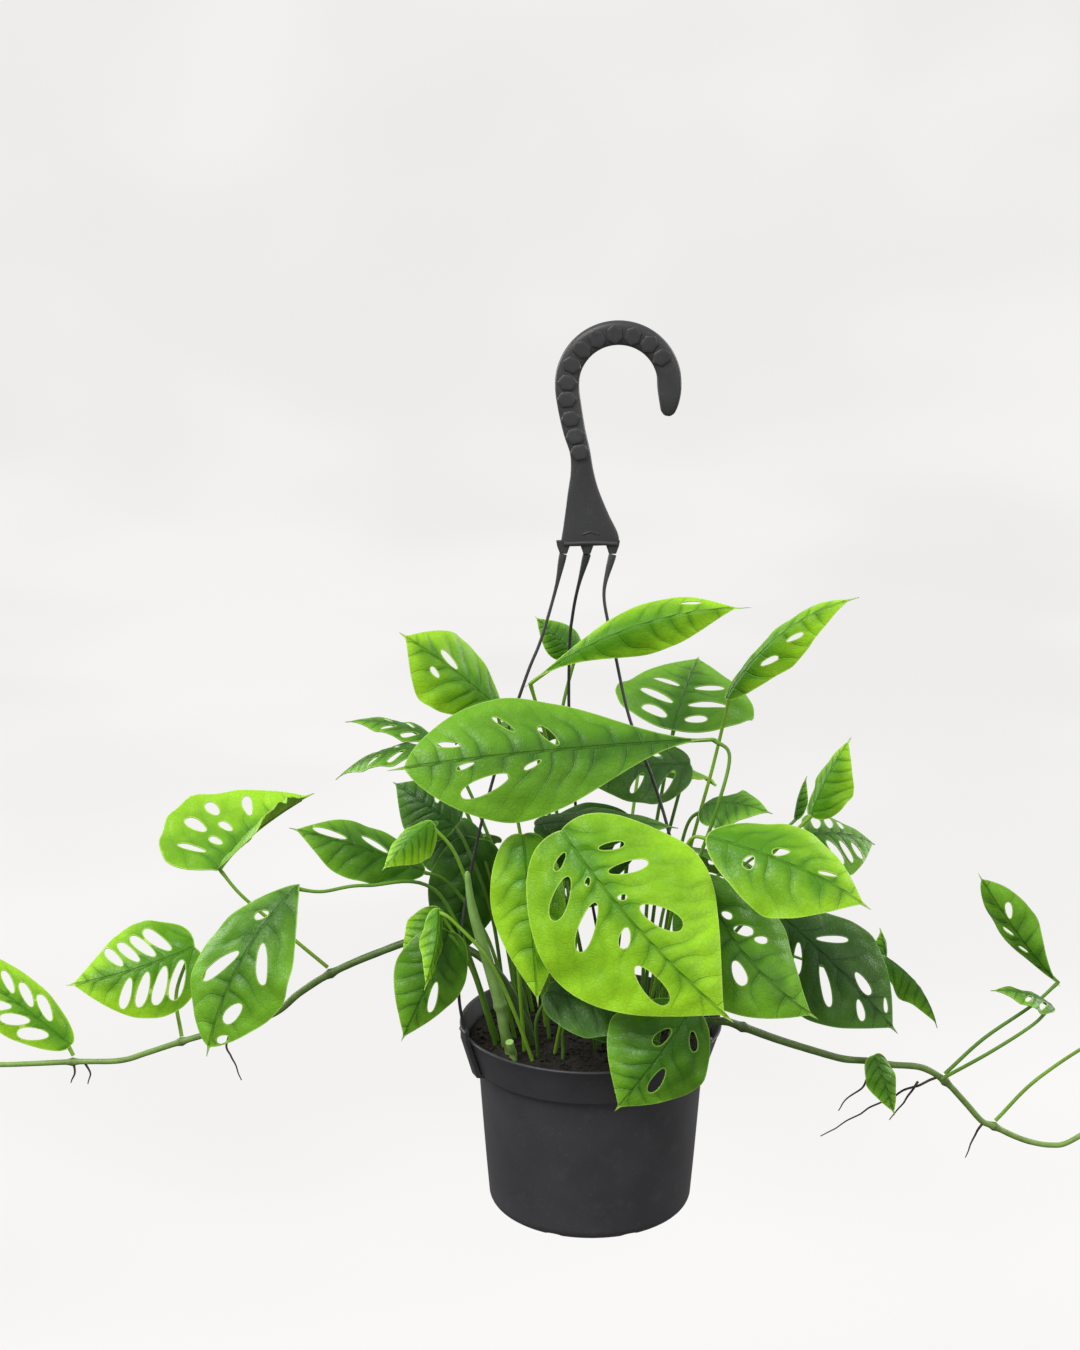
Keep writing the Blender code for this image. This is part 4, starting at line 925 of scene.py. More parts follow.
def rule_holes(per_side, girth, inner=0.2, outer=0.74):
    """Holes in a row on each side of the midrib, slanting forward and smaller towards the tip."""
    holes = []
    for side in (1, -1):
        for k in range(per_side):
            start = 0.1 + 0.52 * (k + (0.2 if side > 0 else 0.5)) / per_side
            room = 1.0 - 0.6 * max(0.0, start - 0.2)
            size = girth * (1.0 - 0.35 * k / per_side)
            holes.append((start, side * inner, start + 0.15 * room, side * outer * room, size))
    return tuple(holes)


def half_width(leaf, share):
    """Half the blade's width at a share of its length: a full body and a short narrow drip tip."""
    if share <= 0.0 or share >= 1.0:
        return 0.0
    swell = math.log(0.5) / math.log(leaf.belly)
    drip = DRIP_TAPER * (1.0 - share) if share > 0.8 else 0.0
    if share >= BODY_SHARE:
        return leaf.width * drip
    body = share / BODY_SHARE
    full = math.sin(math.pi * body**swell) ** (leaf.neck + leaf.point * body)
    return leaf.width * max(full / 2, drip)


class Blade:
    """The bent surface of one leaf, as the solid has it, with the finer relief of its veins."""

    def __init__(self, leaf, vein_gap, quilting):
        self.leaf = leaf
        self.base = np.array(leaf.base, float)
        way = np.array(leaf.tip, float) - self.base
        self.length = float(np.linalg.norm(way))
        self.forward = way / self.length
        face = np.array(leaf.face, float)
        face = face - self.forward * face.dot(self.forward)
        self.face = face / np.linalg.norm(face)
        self.left = np.cross(self.face, self.forward)
        self.size = min(1.0, self.length / 90.0)
        self.gap = max(4.5, vein_gap / MM * self.size)
        self.quilting = quilting / MM * (0.35 + 0.65 * self.size)
        self.draw = random.Random(round(leaf.base[0] * 13 + leaf.tip[1] * 7 + leaf.width))
        self.phase = self.draw.uniform(0.0, 6.0)
        self.loops = [self.outline(), *(self.hole(hole) for hole in leaf.holes)]

    def lanes(self, run, lateral):
        """Which lane between two side veins each point is in, counted along the midrib."""
        reach = np.abs(lateral)
        lean = run - 0.45 * reach - 0.3 * reach**2 / max(10.0, self.leaf.width / 2)
        stray = 0.2 * np.sin(run * 0.11 + self.phase)
        stray += 0.1 * np.sin(lateral * 0.3 + self.phase * 2)
        stray += 0.1 * np.sin(run * 0.31 + self.phase * 3)
        return lean / self.gap + stray + np.where(lateral > 0, 0.0, 0.45)

    def place(self, run, lateral, edge):
        """Places for flat points, by their run along the midrib, their distance across from it
        and their distance from the nearest edge."""
        leaf, length = self.leaf, self.length
        share = run / length
        tail = np.maximum(0.0, (share - 0.6) / 0.4)
        rise = leaf.bow * 4 * share * (1 - share) - leaf.droop * tail**2
        slope = leaf.bow * 4 * (1 - 2 * share) / length - leaf.droop * 2 * tail / 0.4 / length
        shift = leaf.sweep * 4 * share * (1 - share)
        skew = leaf.sweep * 4 * (1 - 2 * share) / length
        rib = self.forward + np.outer(slope, self.face) + np.outer(skew, self.left)
        rib /= np.linalg.norm(rib, axis=1)[:, None]
        up = self.face - rib * (rib @ self.face)[:, None]
        up /= np.linalg.norm(up, axis=1)[:, None]
        across = np.cross(up, rib)
        turn = np.radians(leaf.twist) * share
        c, s = np.cos(turn)[:, None], np.sin(turn)[:, None]
        up, across = up * c - across * s, across * c + up * s
        reach = np.abs(lateral) / (leaf.width / 2)
        drop = np.radians(leaf.fold + leaf.cup * reach / 2)
        side = np.where(lateral > 0, 1.0, 3.0)
        ripple = leaf.wave * reach**2 * np.sin(2 * np.pi * (2.3 * share + 0.23 * side))
        ripple += 0.011 * leaf.width * reach**2 * np.sin(2 * np.pi * 5.2 * share + self.phase * side)
        lane = self.lanes(run, lateral)
        inner = np.clip((np.abs(lateral) - 0.8) / 5.0, 0.0, 1.0) * np.clip(edge / 5.0, 0.12, 1.0)
        fade = 1.0 - 0.6 * np.clip(reach, 0.0, 1.0)
        quilt = self.quilting * (np.abs(np.sin(np.pi * lane)) ** 0.8 - 0.5) * fade
        broad = np.sin(0.21 * run + 0.12 * lateral + self.phase) * np.sin(0.24 * lateral - 0.1 * run)
        small = np.sin(0.6 * run + 0.3 * lateral + self.phase) * np.sin(0.5 * lateral - 0.2 * run)
        relief = (quilt + (0.3 + 0.006 * leaf.width) * broad + 0.25 * small) * inner
        groove = np.exp(-((lateral / 1.5) ** 2)) * np.clip((1.0 - share) * 3.0, 0.0, 1.0)
        relief -= 0.75 * groove + (0.25 + 0.005 * leaf.width) * self.size
        spot = self.base + np.outer(run, self.forward)
        spot += np.outer(rise, self.face) + np.outer(shift, self.left)
        spot += across * (lateral * np.cos(drop))[:, None]
        return spot + up * (ripple + relief - np.abs(lateral) * np.sin(drop))[:, None]

    def outline(self):
        """The margin in the flat, up one side from the base to the tip and back down the other."""
        leaf, one = self.leaf, []
        steps = max(14, round(self.length * 1.35 / EDGE_STEP))
        for k in range(steps):
            share = 0.5 - 0.5 * math.cos(math.pi * (k + 0.5) / (steps + 0.3))
            wide = half_width(leaf, share)
            if wide < NARROWEST:
                continue
            back = leaf.lobe * max(0.0, 1.0 - share / 0.3) ** 2
            back *= min(1.0, wide / (0.3 * leaf.width))
            one.append(((share - back) * self.length, wide))
        other = [(x, -y) for x, y in reversed(one)]
        return np.array([(0.0, 0.0), *one, (self.length, 0.0), *other])

    def hole(self, hole):
        """A long rounded hole between its two ends, in the flat blade."""
        half_blade = self.leaf.width / 2
        near = np.array((hole[0] * self.length, hole[1] * half_blade))
        far = np.array((hole[2] * self.length, hole[3] * half_blade))
        half = np.linalg.norm(far - near) / 2
        ahead = (far - near) / (2 * half)
        across = np.array((-ahead[1], ahead[0]))
        count = 26 if half > 8.0 else 20 if half > 4.0 else 14
        turn = math.tau * np.arange(count) / count
        swell = 1.0 + 0.2 * np.cos(turn)
        wobble = 1.0 + 0.05 * np.sin(2 * turn + self.phase + half)
        c, s = np.cos(turn), np.sin(turn)
        wide = np.sign(s) * np.abs(s) ** 0.9 * hole[4] / 2 * swell * wobble
        return (near + far) / 2 + np.outer(half * wobble * c, ahead) + np.outer(wide, across)

    def edge_distance(self, points, loops=None):
        """How far each flat point lies from the margin or the nearest hole."""
        best = np.full(len(points), 1e9)
        for loop in loops or self.loops:
            ends = np.roll(loop, -1, axis=0)
            for a, b in zip(loop, ends):
                way = b - a
                t = np.clip(((points - a) @ way) / max(1e-9, way @ way), 0.0, 1.0)
                best = np.minimum(best, np.linalg.norm(points - a - t[:, None] * way, axis=1))
        return best

    def within(self, points):
        """Which flat points lie on the blade: inside the margin and outside every hole."""
        found = []
        for loop in self.loops:
            count = np.zeros(len(points), int)
            for a, b in zip(loop, np.roll(loop, -1, axis=0)):
                if a[1] == b[1]:
                    continue
                crossing = (a[1] > points[:, 1]) != (b[1] > points[:, 1])
                where = (b[0] - a[0]) * (points[:, 1] - a[1]) / (b[1] - a[1]) + a[0]
                count += crossing & (points[:, 0] < where)
            found.append(count % 2 == 1)
        return found[0] & ~np.any(found[1:], axis=0) if len(found) > 1 else found[0]

    def inner_points(self):
        """Points inside the blade: a ring beside each edge, rows beside the midrib and a grid."""
        rings = []
        for i, loop in enumerate(self.loops):
            before, after = np.roll(loop, 1, axis=0), np.roll(loop, -1, axis=0)
            way = after - before
            normal = np.stack([way[:, 1], -way[:, 0]], 1)
            normal /= np.maximum(1e-9, np.linalg.norm(normal, axis=1))[:, None]
            area = np.sum(loop[:, 0] * after[:, 1] - after[:, 0] * loop[:, 1])
            sign = math.copysign(1.0, area) * (-1.0 if i == 0 else 1.0)
            rings.append(loop + normal * sign * RIM_WIDTH)
        rings = np.concatenate(rings)
        reach = self.leaf.width / 2 + self.leaf.lobe * self.length
        rows = []
        for k in range(1, round(self.length / RIB_STEP)):
            rows += [(RIB_STEP * k, side) for side in (0.0, RIB_SIDE, -RIB_SIDE)]
        step = GRID_STEP if self.length > 45 else FINE_GRID_STEP
        grid = []
        for j in range(-int(reach / step / 0.87) - 1, int(reach / step / 0.87) + 2):
            y = j * step * 0.87
            if abs(y) < 2.4:
                continue
            offset = 0.5 * step if j % 2 else 0.0
            x = -0.2 * self.length + offset
            while x < self.length:
                grid.append((x, y))
                x += step
        rows, grid = np.array(rows), np.array(grid)
        rings = rings[self.within(rings)]
        rings = rings[self.edge_distance(rings) > RIM_WIDTH * 0.8]
        rows = rows[self.within(rows)]
        rows = rows[self.edge_distance(rows) > 1.0]
        grid = grid[self.within(grid)]
        grid = grid[self.edge_distance(grid) > RIM_WIDTH + 1.0]
        return np.concatenate([rings, rows, grid])

    def sheet(self, thickness):
        """The blade as a closed thin sheet: its points, faces, growth and glow."""
        flat, edges = [], []
        for loop in self.loops:
            first = len(flat)
            flat += [Vector(p) for p in loop]
            edges += [(first + k, first + (k + 1) % len(loop)) for k in range(len(loop))]
        flat += [Vector(p) for p in self.inner_points()]
        flat, _, faces, *_ = delaunay_2d_cdt(flat, edges, [], 0, 1e-5)
        flat = np.array([tuple(p) for p in flat])
        faces = np.array([tuple(f) for f in faces])
        faces = faces[self.within(flat[faces].mean(axis=1))]
        used, faces = np.unique(faces, return_inverse=True)
        faces = faces.reshape(-1, 3)
        flat = flat[used]
        edge = self.edge_distance(flat)
        middle = self.place(flat[:, 0], flat[:, 1], edge)
        a, b, c = (middle[faces[:, k]] for k in range(3))
        face_normals = np.cross(b - a, c - a)
        normals = np.zeros_like(middle)
        for k in range(3):
            np.add.at(normals, faces[:, k], face_normals)
        normals /= np.maximum(1e-9, np.linalg.norm(normals, axis=1))[:, None]
        half = thickness / MM / 2
        count = len(middle)
        triangles = [tuple(f) for f in faces]
        triangles += [(f[2] + count, f[1] + count, f[0] + count) for f in faces]
        directed = {(f[k], f[(k + 1) % 3]) for f in faces.tolist() for k in range(3)}
        for p, q in sorted(directed):
            if (q, p) not in directed:
                triangles += [(q, p, p + count), (q, p + count, q + count)]
        rim = np.clip(1.0 - edge / RIM_WIDTH, 0.0, 1.0)
        growth = np.stack([self.lanes(flat[:, 0], flat[:, 1]), flat[:, 1], rim], 1)
        share = np.clip(flat[:, 0] / self.length, 0.0, 1.0)
        margin = self.edge_distance(flat, self.loops[:1])
        glow = np.clip(1.0 - margin / (0.13 * self.leaf.width + 2.0), 0.0, 1.0)
        glow *= 0.3 + 0.5 * share
        glow += 0.85 * share**1.2 - 0.24
        points = np.concatenate([middle + normals * half, middle - normals * half])
        return points, triangles, np.concatenate([growth, growth]), np.concatenate([glow, glow])

    def on_rib(self, run, below):
        """A place on the midrib, so far below the blade's middle."""
        spot = self.place(np.array([run]), np.array([0.0]), np.array([9.0]))[0]
        return Vector(spot - self.face * below)


def stalk_line(leaf, blade, thickness):
    """The leaf stalk's places: from the soil or its stem to the blade and on under the midrib."""
    under = thickness / MM / 2 + 0.5
    start = [Vector(place) for place in leaf.route]
    if not leaf.stem:
        x, y = leaf.route[0]
        start = [
            Vector((x, y, SOIL_TOP - 4.0)),
            Vector((x, y, SOIL_TOP + 5.0)),
            *(Vector(place) for place in leaf.route[1:]),
        ]
    start.append(blade.on_rib(0.02 * blade.length + 0.8, under + 0.6))
    line = evenly(smooth_route([at(*p) for p in start], 10), STALK_STEP * MM)
    knee = len(line) - 1
    last = 0.9 * blade.length
    runs = np.linspace(min(5.0, 0.08 * blade.length), last, max(6, round(last / 4.0)))
    line += [at(*blade.on_rib(run, under + 0.25 - 0.5 * run / last)) for run in runs]
    return line, knee, len(runs)


def make_leaf(name, leaf, settings, paints, draw):
    """One leaf in its CAD node's place: blade, stalk and the rib under the blade."""
    blade = Blade(leaf, settings.vein_gap, settings.quilting)
    points, faces, growth, glow = blade.sheet(settings.blade_thickness)
    count = len(points) // 2
    line, knee, under = stalk_line(leaf, blade, settings.blade_thickness)
    thick = settings.stalk_radius / MM
    radii = []
    for i in range(len(line)):
        if i <= knee:
            swell = 0.28 * math.exp(-(((knee - i) * STALK_STEP / 5.0) ** 2))
            radii.append(thick * (1.0 - 0.16 * i / max(1, knee)) + swell)
        else:
            left = 1.0 - (i - knee) / under
            radii.append(0.25 + 0.75 * thick * left * min(1.0, blade.length / 60.0))
    if blade.length < 32:
        radii = [r * 0.8 for r in radii]
    rings = tube_rings(line, radii, 10)
    stalk_points = [p for ring in rings for p in ring]
    every = [at(*p) for p in points] + stalk_points
    stalk_faces = skin(rings, first=len(points))
    piece = new_piece(
        f"{name}_blade", every, faces + stalk_faces, paints[leaf.tone], name, 55.0
    )
    spare = len(stalk_points)
    growth = np.concatenate([growth, np.tile((0.5, 9.0, 0.0), (spare, 1))])
    add_attribute(piece, "growth", growth, "FLOAT_VECTOR")
    add_attribute(piece, "glow", [*glow, *[0.0] * spare])
    add_attribute(piece, "under", [0.0] * count + [1.0] * count + [0.0] * spare)
    add_attribute(piece, "stalk", [0.0] * (2 * count) + [1.0] * spare)
    add_attribute(piece, "age", [YOUTH.get(name, draw.uniform(0.2, 0.7))] * len(every))
    return piece


SLOTS = {
    "bright": "leaf_bright",
    "green": "leaf_green",
    "dark": "leaf_dark",
    "stem": "vine",
    "sheath": "young_stem",
}


# How lime the leaves that the photograph shows best are within their tone; the others draw a value
YOUTH = {
    "leaf_front_big": 0.85,
    "leaf_front_left": 0.9,
    "leaf_top_left": 0.45,
    "leaf_top": 0.2,
    "leaf_top_right": 0.6,
    "leaf_upper_left": 0.25,
    "leaf_right_bright": 0.15,
    "leaf_right_front": 0.75,
    "leaf_right_slits": 0.3,
    "leaf_over_rim": 0.0,
    "leaf_lower_left": 0.3,
    "leaf_vine_left_droop": 0.6,
    "leaf_vine_left_lace": 0.15,
    "leaf_vine_left_arch": 0.55,
    "leaf_vine_left_end": 0.9,
    "leaf_vine_right_up": 0.9,
    "leaf_right_behind": 0.9,
    "leaf_right_up": 0.4,
}

# The leaves, front and top of the crown first, then left vine, right vine and back
LEAVES = {
    "leaf_front_big": Leaf(
        base=(-18, -74, 139), tip=(74, -112, 44), width=106, face=(-0.15, -0.85, 0.5),
        route=((-20, -30), (-10, -48, 60), (-9, -63, 122)),
        fold=9, cup=18, bow=9, sweep=-5, droop=6, wave=3, belly=0.43, lobe=0.09, tone="bright",
        holes=(
            (0.08, -0.1, 0.11, -0.28, 4), (0.16, -0.22, 0.25, -0.6, 9), (0.3, -0.14, 0.4, -0.62, 8),
            (0.45, -0.08, 0.5, -0.24, 6), (0.58, -0.28, 0.77, -0.3, 10),
            (0.21, -0.05, 0.23, -0.12, 2.5), (0.14, 0.2, 0.18, 0.46, 4),
            (0.24, 0.15, 0.3, 0.52, 7), (0.42, 0.16, 0.6, 0.36, 10), (0.34, 0.05, 0.36, 0.13, 3),
        ),
    ),
    "leaf_top_left": Leaf(
        base=(70, -34, 178), tip=(-109, -78, 175), width=72, face=(0.05, -0.85, 0.55),
        route=((36, -20), (52, -32, 85), (67, -39, 138), (74, -35, 168)),
        fold=8, cup=22, bow=6, droop=6, wave=2, belly=0.67, lobe=0.0, point=-0.6, neck=1.3,
        holes=(
            (0.5, -0.08, 0.55, -0.42, 5), (0.62, -0.36, 0.68, -0.66, 3),
            (0.785, -0.24, 0.85, -0.3, 3.5), (0.56, 0.14, 0.61, 0.24, 2.5),
            (0.655, 0.3, 0.805, 0.54, 8), (0.755, 0.07, 0.805, 0.13, 2.5),
        ),
    ),
    "leaf_top": Leaf(
        base=(-38, -21, 203), tip=(81, -50, 256), width=36, face=(-0.25, -0.85, 0.45),
        route=((-14, 4), (-16, 4, 80), (-24, -6, 160)),
        fold=30, cup=18, bow=5, sweep=9, droop=6, wave=1.5, belly=0.63, lobe=0.0, point=-0.2,
        neck=1.4, tone="bright", holes=((0.73, 0.5, 0.81, 0.36, 2.5),),
    ),
    "leaf_top_right": Leaf(
        base=(73, 0, 190), tip=(140, -24, 256), width=34, face=(-0.5, -0.6, 0.6),
        route=((42, 6), (52, 8, 80), (68, 6, 150)),
        fold=28, cup=26, bow=6, sweep=6, droop=5, wave=1, belly=0.48, lobe=0.02, tone="bright",
        holes=((0.3, -0.3, 0.42, -0.5, 3), (0.52, -0.3, 0.64, -0.42, 2.5)),
    ),
    "leaf_top_behind": Leaf(
        base=(46, 20, 167), tip=(64, 86, 192), width=84, face=(0.0, -0.5, 0.87),
        route=((30, 22), (34, 26, 80), (44, 26, 150)),
        bow=6, fold=8, cup=14, wave=2, belly=0.48,
        holes=(
            (0.11, 0.14, 0.24, 0.52, 6), (0.27, 0.12, 0.43, 0.62, 5), (0.47, 0.1, 0.6, 0.5, 4),
            (0.11, -0.12, 0.2, -0.4, 5), (0.27, -0.12, 0.42, -0.6, 5), (0.48, -0.12, 0.62, -0.5, 4.5),
        ),
    ),
    "leaf_upper_left": Leaf(
        base=(-50, 6, 181), tip=(-106, -6, 230), width=50, face=(0.3, -0.75, 0.55),
        route=((-26, 10), (-36, 13, 80), (-46, 13, 140)),
        belly=0.55, tone="bright",
        holes=((0.49, -0.08, 0.67, -0.24, 4.5), (0.58, 0.34, 0.67, 0.26, 3)),
    ),
    "leaf_small_top": Leaf(
        base=(-8, 29, 207), tip=(-32, 42, 227), width=26, face=(-0.3, -0.7, 0.5),
        route=((-24, 24), (-26, 28, 80), (-18, 31, 165)), fold=30, bow=3, wave=1,
    ),
    "leaf_edge_upper": Leaf(
        base=(-91, 50, 153), tip=(-142, 62, 159), width=26, face=(0.1, -0.1, 1.0),
        route=((-34, 32), (-50, 40, 70), (-76, 47, 135)), holes=rule_holes(2, 3.5), bow=5, fold=6,
    ),
    "leaf_edge_lower": Leaf(
        base=(-97, 32, 153), tip=(-147, 46, 129), width=28, face=(-0.3, -0.1, 1.0),
        route=((-42, 22), (-56, 34, 70), (-82, 38, 135)), holes=rule_holes(2, 3.5), bow=6, fold=8,
    ),
    "leaf_left_middle": Leaf(
        base=(-93, -8, 92), tip=(-168, -20, 122), width=38, face=(0.2, -0.75, 0.65),
        route=((-44, -8), (-58, -6, 50), (-80, -6, 84)), cup=24, wave=2, belly=0.5,
        holes=((0.3, -0.15, 0.5, -0.4, 4), (0.6, -0.15, 0.85, -0.2, 4)),
    ),
    "leaf_left_folded": Leaf(
        base=(-88, -34, 131), tip=(-115, -52, 108), width=34, face=(-0.2, -0.8, 0.5),
        route=((-50, -20), (-58, -26, 50), (-74, -34, 108)), fold=42, bow=4, tone="bright",
    ),
    "leaf_left_dark": Leaf(
        base=(-76, -4, 117), tip=(-112, 10, 139), width=42, face=(0.1, -0.85, 0.5),
        route=((-48, 4), (-56, 4, 60), (-70, -1, 104)), holes=rule_holes(1, 4), tone="dark",
    ),
    "leaf_left_low_dark": Leaf(
        base=(-62, 16, 97), tip=(-110, 32, 98), width=42, face=(0.0, -0.7, 0.7),
        route=((-36, 12), (-46, 15, 60)), tone="dark",
    ),
    "leaf_lower_left": Leaf(
        base=(-79, -38, 68), tip=(-106, -50, 7), width=43, face=(0.2, -0.9, 0.3),
        route=((-55, -18), (-66, -32, 40), (-76, -38, 62)), bow=6,
        holes=((0.42, 0.2, 0.68, 0.36, 5),),
    ),
    "leaf_lower_left_pale": Leaf(
        base=(-84, -14, 72), tip=(-108, -24, 44), width=26, face=(0.4, -0.8, 0.3),
        route=((-57, -5), (-70, -12, 42)), fold=30, tone="bright",
    ),
    "leaf_lower_left_curl": Leaf(
        base=(-84, -42, 83), tip=(-92, -66, 44), width=20, face=(0.5, -0.8, 0.3),
        route=((-34, -42), (-54, -50, 50), (-76, -46, 76)), fold=40, tone="bright",
    ),
    "leaf_front_left": Leaf(
        base=(-38, -60, 132), tip=(-30, -86, 42), width=46, face=(0.1, -0.9, 0.35),
        route=((-38, -28), (-42, -42, 60), (-46, -52, 112)), fold=14, cup=30, bow=6, tone="bright",
    ),
    "leaf_under_front": Leaf(
        base=(-26, -56, 40), tip=(36, -78, 24), width=38, face=(-0.1, -0.6, 0.8),
        route=((-30, -38), (-31, -50, 20)), bow=6, cup=20, tone="dark",
    ),
    "leaf_under_front_low": Leaf(
        base=(-14, -38, 18), tip=(38, -64, 12), width=24, face=(0.0, -0.35, 1.0),
        route=((-16, -36), (-16, -37, 8)), bow=4, tone="dark",
    ),
    "leaf_over_rim": Leaf(
        base=(54, -84, 42), tip=(11, -98, -13), width=66, face=(0.15, -0.95, 0.3),
        route=((30, -46), (34, -60, 30), (52, -72, 46)),
        bow=6, cup=24, wave=2, belly=0.45,
        holes=((0.15, 0.22, 0.26, 0.48, 5), (0.51, 0.2, 0.72, 0.27, 7), (0.24, -0.1, 0.4, -0.2, 6)),
    ),
    "leaf_right_front": Leaf(
        base=(58, -52, 106), tip=(123, -84, 35), width=68, face=(0.15, -0.85, 0.5),
        route=((36, -34), (44, -44, 50), (52, -48, 98)),
        bow=8, sweep=-12, droop=5, cup=24, wave=2, belly=0.45,
        holes=(
            (0.22, 0.08, 0.27, 0.2, 4.5), (0.33, 0.12, 0.4, 0.38, 7), (0.44, 0.32, 0.5, 0.5, 5),
            (0.47, -0.2, 0.59, -0.32, 7),
        ),
    ),
    "leaf_right_bright": Leaf(
        base=(60, -68, 134), tip=(147, -94, 104), width=60, face=(0.1, -0.72, 0.7),
        route=((26, -38), (40, -54, 70), (50, -62, 126)),
        bow=7, droop=6, cup=22, wave=2, belly=0.5, tone="bright",
        holes=((0.29, -0.12, 0.27, -0.36, 6), (0.46, 0.26, 0.38, 0.1, 5), (0.76, 0.22, 0.66, 0.1, 2.5)),
    ),
    "leaf_right_slits": Leaf(
        base=(104, -24, 73), tip=(170, -46, 10), width=66, face=(0.1, -0.8, 0.55),
        route=((50, -18), (66, -22, 40), (92, -22, 74)),
        bow=6, cup=16, belly=0.5, tone="dark",
        holes=(
            (0.2, -0.14, 0.32, -0.56, 4.5), (0.38, -0.16, 0.6, -0.54, 5), (0.56, 0.2, 0.72, 0.1, 6),
            (0.8, 0.28, 0.86, 0.1, 3), (0.26, 0.14, 0.4, 0.56, 4.5), (0.68, -0.12, 0.8, -0.3, 4),
        ),
    ),
    "leaf_right_curl": Leaf(
        base=(168, 8, 36), tip=(199, 0, -6), width=26, face=(0.7, -0.6, 0.4),
        route=((52, 2), (86, 8, 44), (140, 10, 48)), fold=46, bow=8, wave=2,
    ),
    "leaf_right_curl_small": Leaf(
        base=(170, 26, 18), tip=(168, 30, 44), width=22, face=(0.5, -0.7, 0.2),
        route=((50, 14), (88, 22, 34), (140, 28, 20)), fold=40, bow=4,
    ),
    "leaf_right_up": Leaf(
        base=(122, -4, 123), tip=(145, 8, 166), width=36, face=(-0.6, -0.7, 0.2),
        route=((46, -6), (64, -4, 60), (104, -4, 104)), fold=38, bow=4, tone="bright",
    ),
    "leaf_right_young": Leaf(
        base=(116, 22, 112), tip=(123, 28, 137), width=12, face=(-0.6, -0.7, 0.2),
        route=((44, 20), (62, 20, 60), (98, 22, 94)), fold=45, bow=2, wave=0.3, lobe=0.0,
    ),
    "leaf_right_behind": Leaf(
        base=(126, 36, 99), tip=(168, 62, 84), width=52, face=(0.2, -0.45, 0.85),
        route=((40, 30), (62, 34, 60), (106, 36, 98)), holes=rule_holes(3, 6), bow=5,
    ),
    "leaf_right_edge": Leaf(
        base=(60, -14, 132), tip=(98, -38, 136), width=34, face=(-0.1, -0.4, 0.9),
        route=((36, -8), (42, -10, 60), (52, -12, 118)), bow=6,
    ),
    "leaf_centre_dark_upper": Leaf(
        base=(56, 10, 150), tip=(-14, -12, 148), width=44, face=(0.0, -0.75, 0.65),
        route=((30, 6), (38, 8, 80)), holes=rule_holes(2, 5), tone="dark",
    ),
    "leaf_centre_dark_lower": Leaf(
        base=(24, -18, 122), tip=(-44, -34, 104), width=50, face=(0.0, -0.8, 0.55),
        route=((10, -14), (16, -14, 60)), holes=rule_holes(2, 4.5), tone="dark",
    ),
    "leaf_inner_left": Leaf(
        base=(-64, 8, 106), tip=(-82, 2, 28), width=46, face=(0.1, -0.9, 0.35),
        route=((-34, -4), (-48, 3, 50), (-60, 8, 92)), tone="dark", bow=4,
    ),
    "leaf_inner_centre": Leaf(
        base=(-40, -6, 104), tip=(-36, -12, 36), width=36, face=(0.1, -0.95, 0.2),
        route=((-24, -10), (-30, -8, 50)), tone="dark", bow=4,
    ),
    "leaf_inner_arc": Leaf(
        base=(-32, -48, 133), tip=(46, -50, 132), width=36, face=(0.0, -0.35, 0.95),
        route=((2, -24), (-4, -30, 40), (-12, -40, 80), (-28, -46, 118)), tone="dark", bow=5,
    ),
    "leaf_vine_left_arch": Leaf(
        base=(-211, -6, 93), tip=(-160, 50, 120), width=102, face=(-0.5, -0.22, 0.83),
        route=((-149.6, -4.6, 33.3), (-168, -5, 50), (-196, -6, 76)), stem="stem_left",
        fold=-26, cup=0, bow=2, sweep=7, belly=0.36, lobe=0.16, tone="bright",
        holes=(
            (0.29, 0.46, 0.33, 0.78, 6), (0.44, 0.5, 0.48, 0.74, 5), (0.38, 0.2, 0.4, 0.42, 4),
            (0.24, 0.16, 0.26, 0.36, 4), (0.13, 0.26, 0.13, 0.6, 4), (0.2, -0.2, 0.26, -0.6, 5),
            (0.56, 0.22, 0.66, 0.5, 5),
        ),
    ),
    "leaf_vine_left_droop": Leaf(
        base=(-160, -52, 101), tip=(-210, -82, 12), width=62, face=(-0.35, -0.8, 0.5),
        route=((-54, -12), (-84, -26, 84), (-124, -42, 96), (-148, -49, 95)),
        fold=8, cup=20, bow=12, sweep=-3, wave=2, belly=0.58, lobe=0.02, point=0.0,
        holes=(
            (0.2, -0.08, 0.26, -0.26, 5), (0.45, -0.12, 0.66, -0.62, 8),
            (0.34, 0.18, 0.54, 0.56, 6), (0.68, 0.36, 0.8, 0.16, 7), (0.86, 0.32, 0.91, 0.14, 4),
        ),
    ),
    "leaf_vine_left_lace": Leaf(
        base=(-226, 6, 42), tip=(-299, -4, 22), width=62, face=(0.1, -0.8, 0.6),
        route=((-234.5, -1.4, -10.5), (-238, 8, 12)), stem="stem_left",
        holes=rule_holes(4, 7.5, 0.14, 0.76), sweep=4, lobe=0.1, tone="bright",
    ),
    "leaf_vine_left_end": Leaf(
        base=(-299, 4, -18), tip=(-384, 24, 40), width=40, face=(0.1, -0.7, 0.7),
        route=((-298, 3, -24.1),), stem="stem_left",
        holes=rule_holes(4, 6.5, 0.18, 0.68), belly=0.45, tone="bright",
    ),
    "leaf_vine_left_young": Leaf(
        base=(-388, 14, -18), tip=(-399, 16, 4), width=11, face=(0.2, -0.9, 0.2),
        route=((-386, 14, -24.2),), stem="stem_left", fold=50, bow=1, wave=0.3, lobe=0.0,
        tone="bright",
    ),
    "leaf_vine_right_small": Leaf(
        base=(158, -38, -6), tip=(170, -44, -40), width=20, face=(0.3, -0.9, 0.2),
        route=((160.9, -29.85, -15.2),), stem="stem_right", fold=20, bow=2,
    ),
    "leaf_vine_right_up": Leaf(
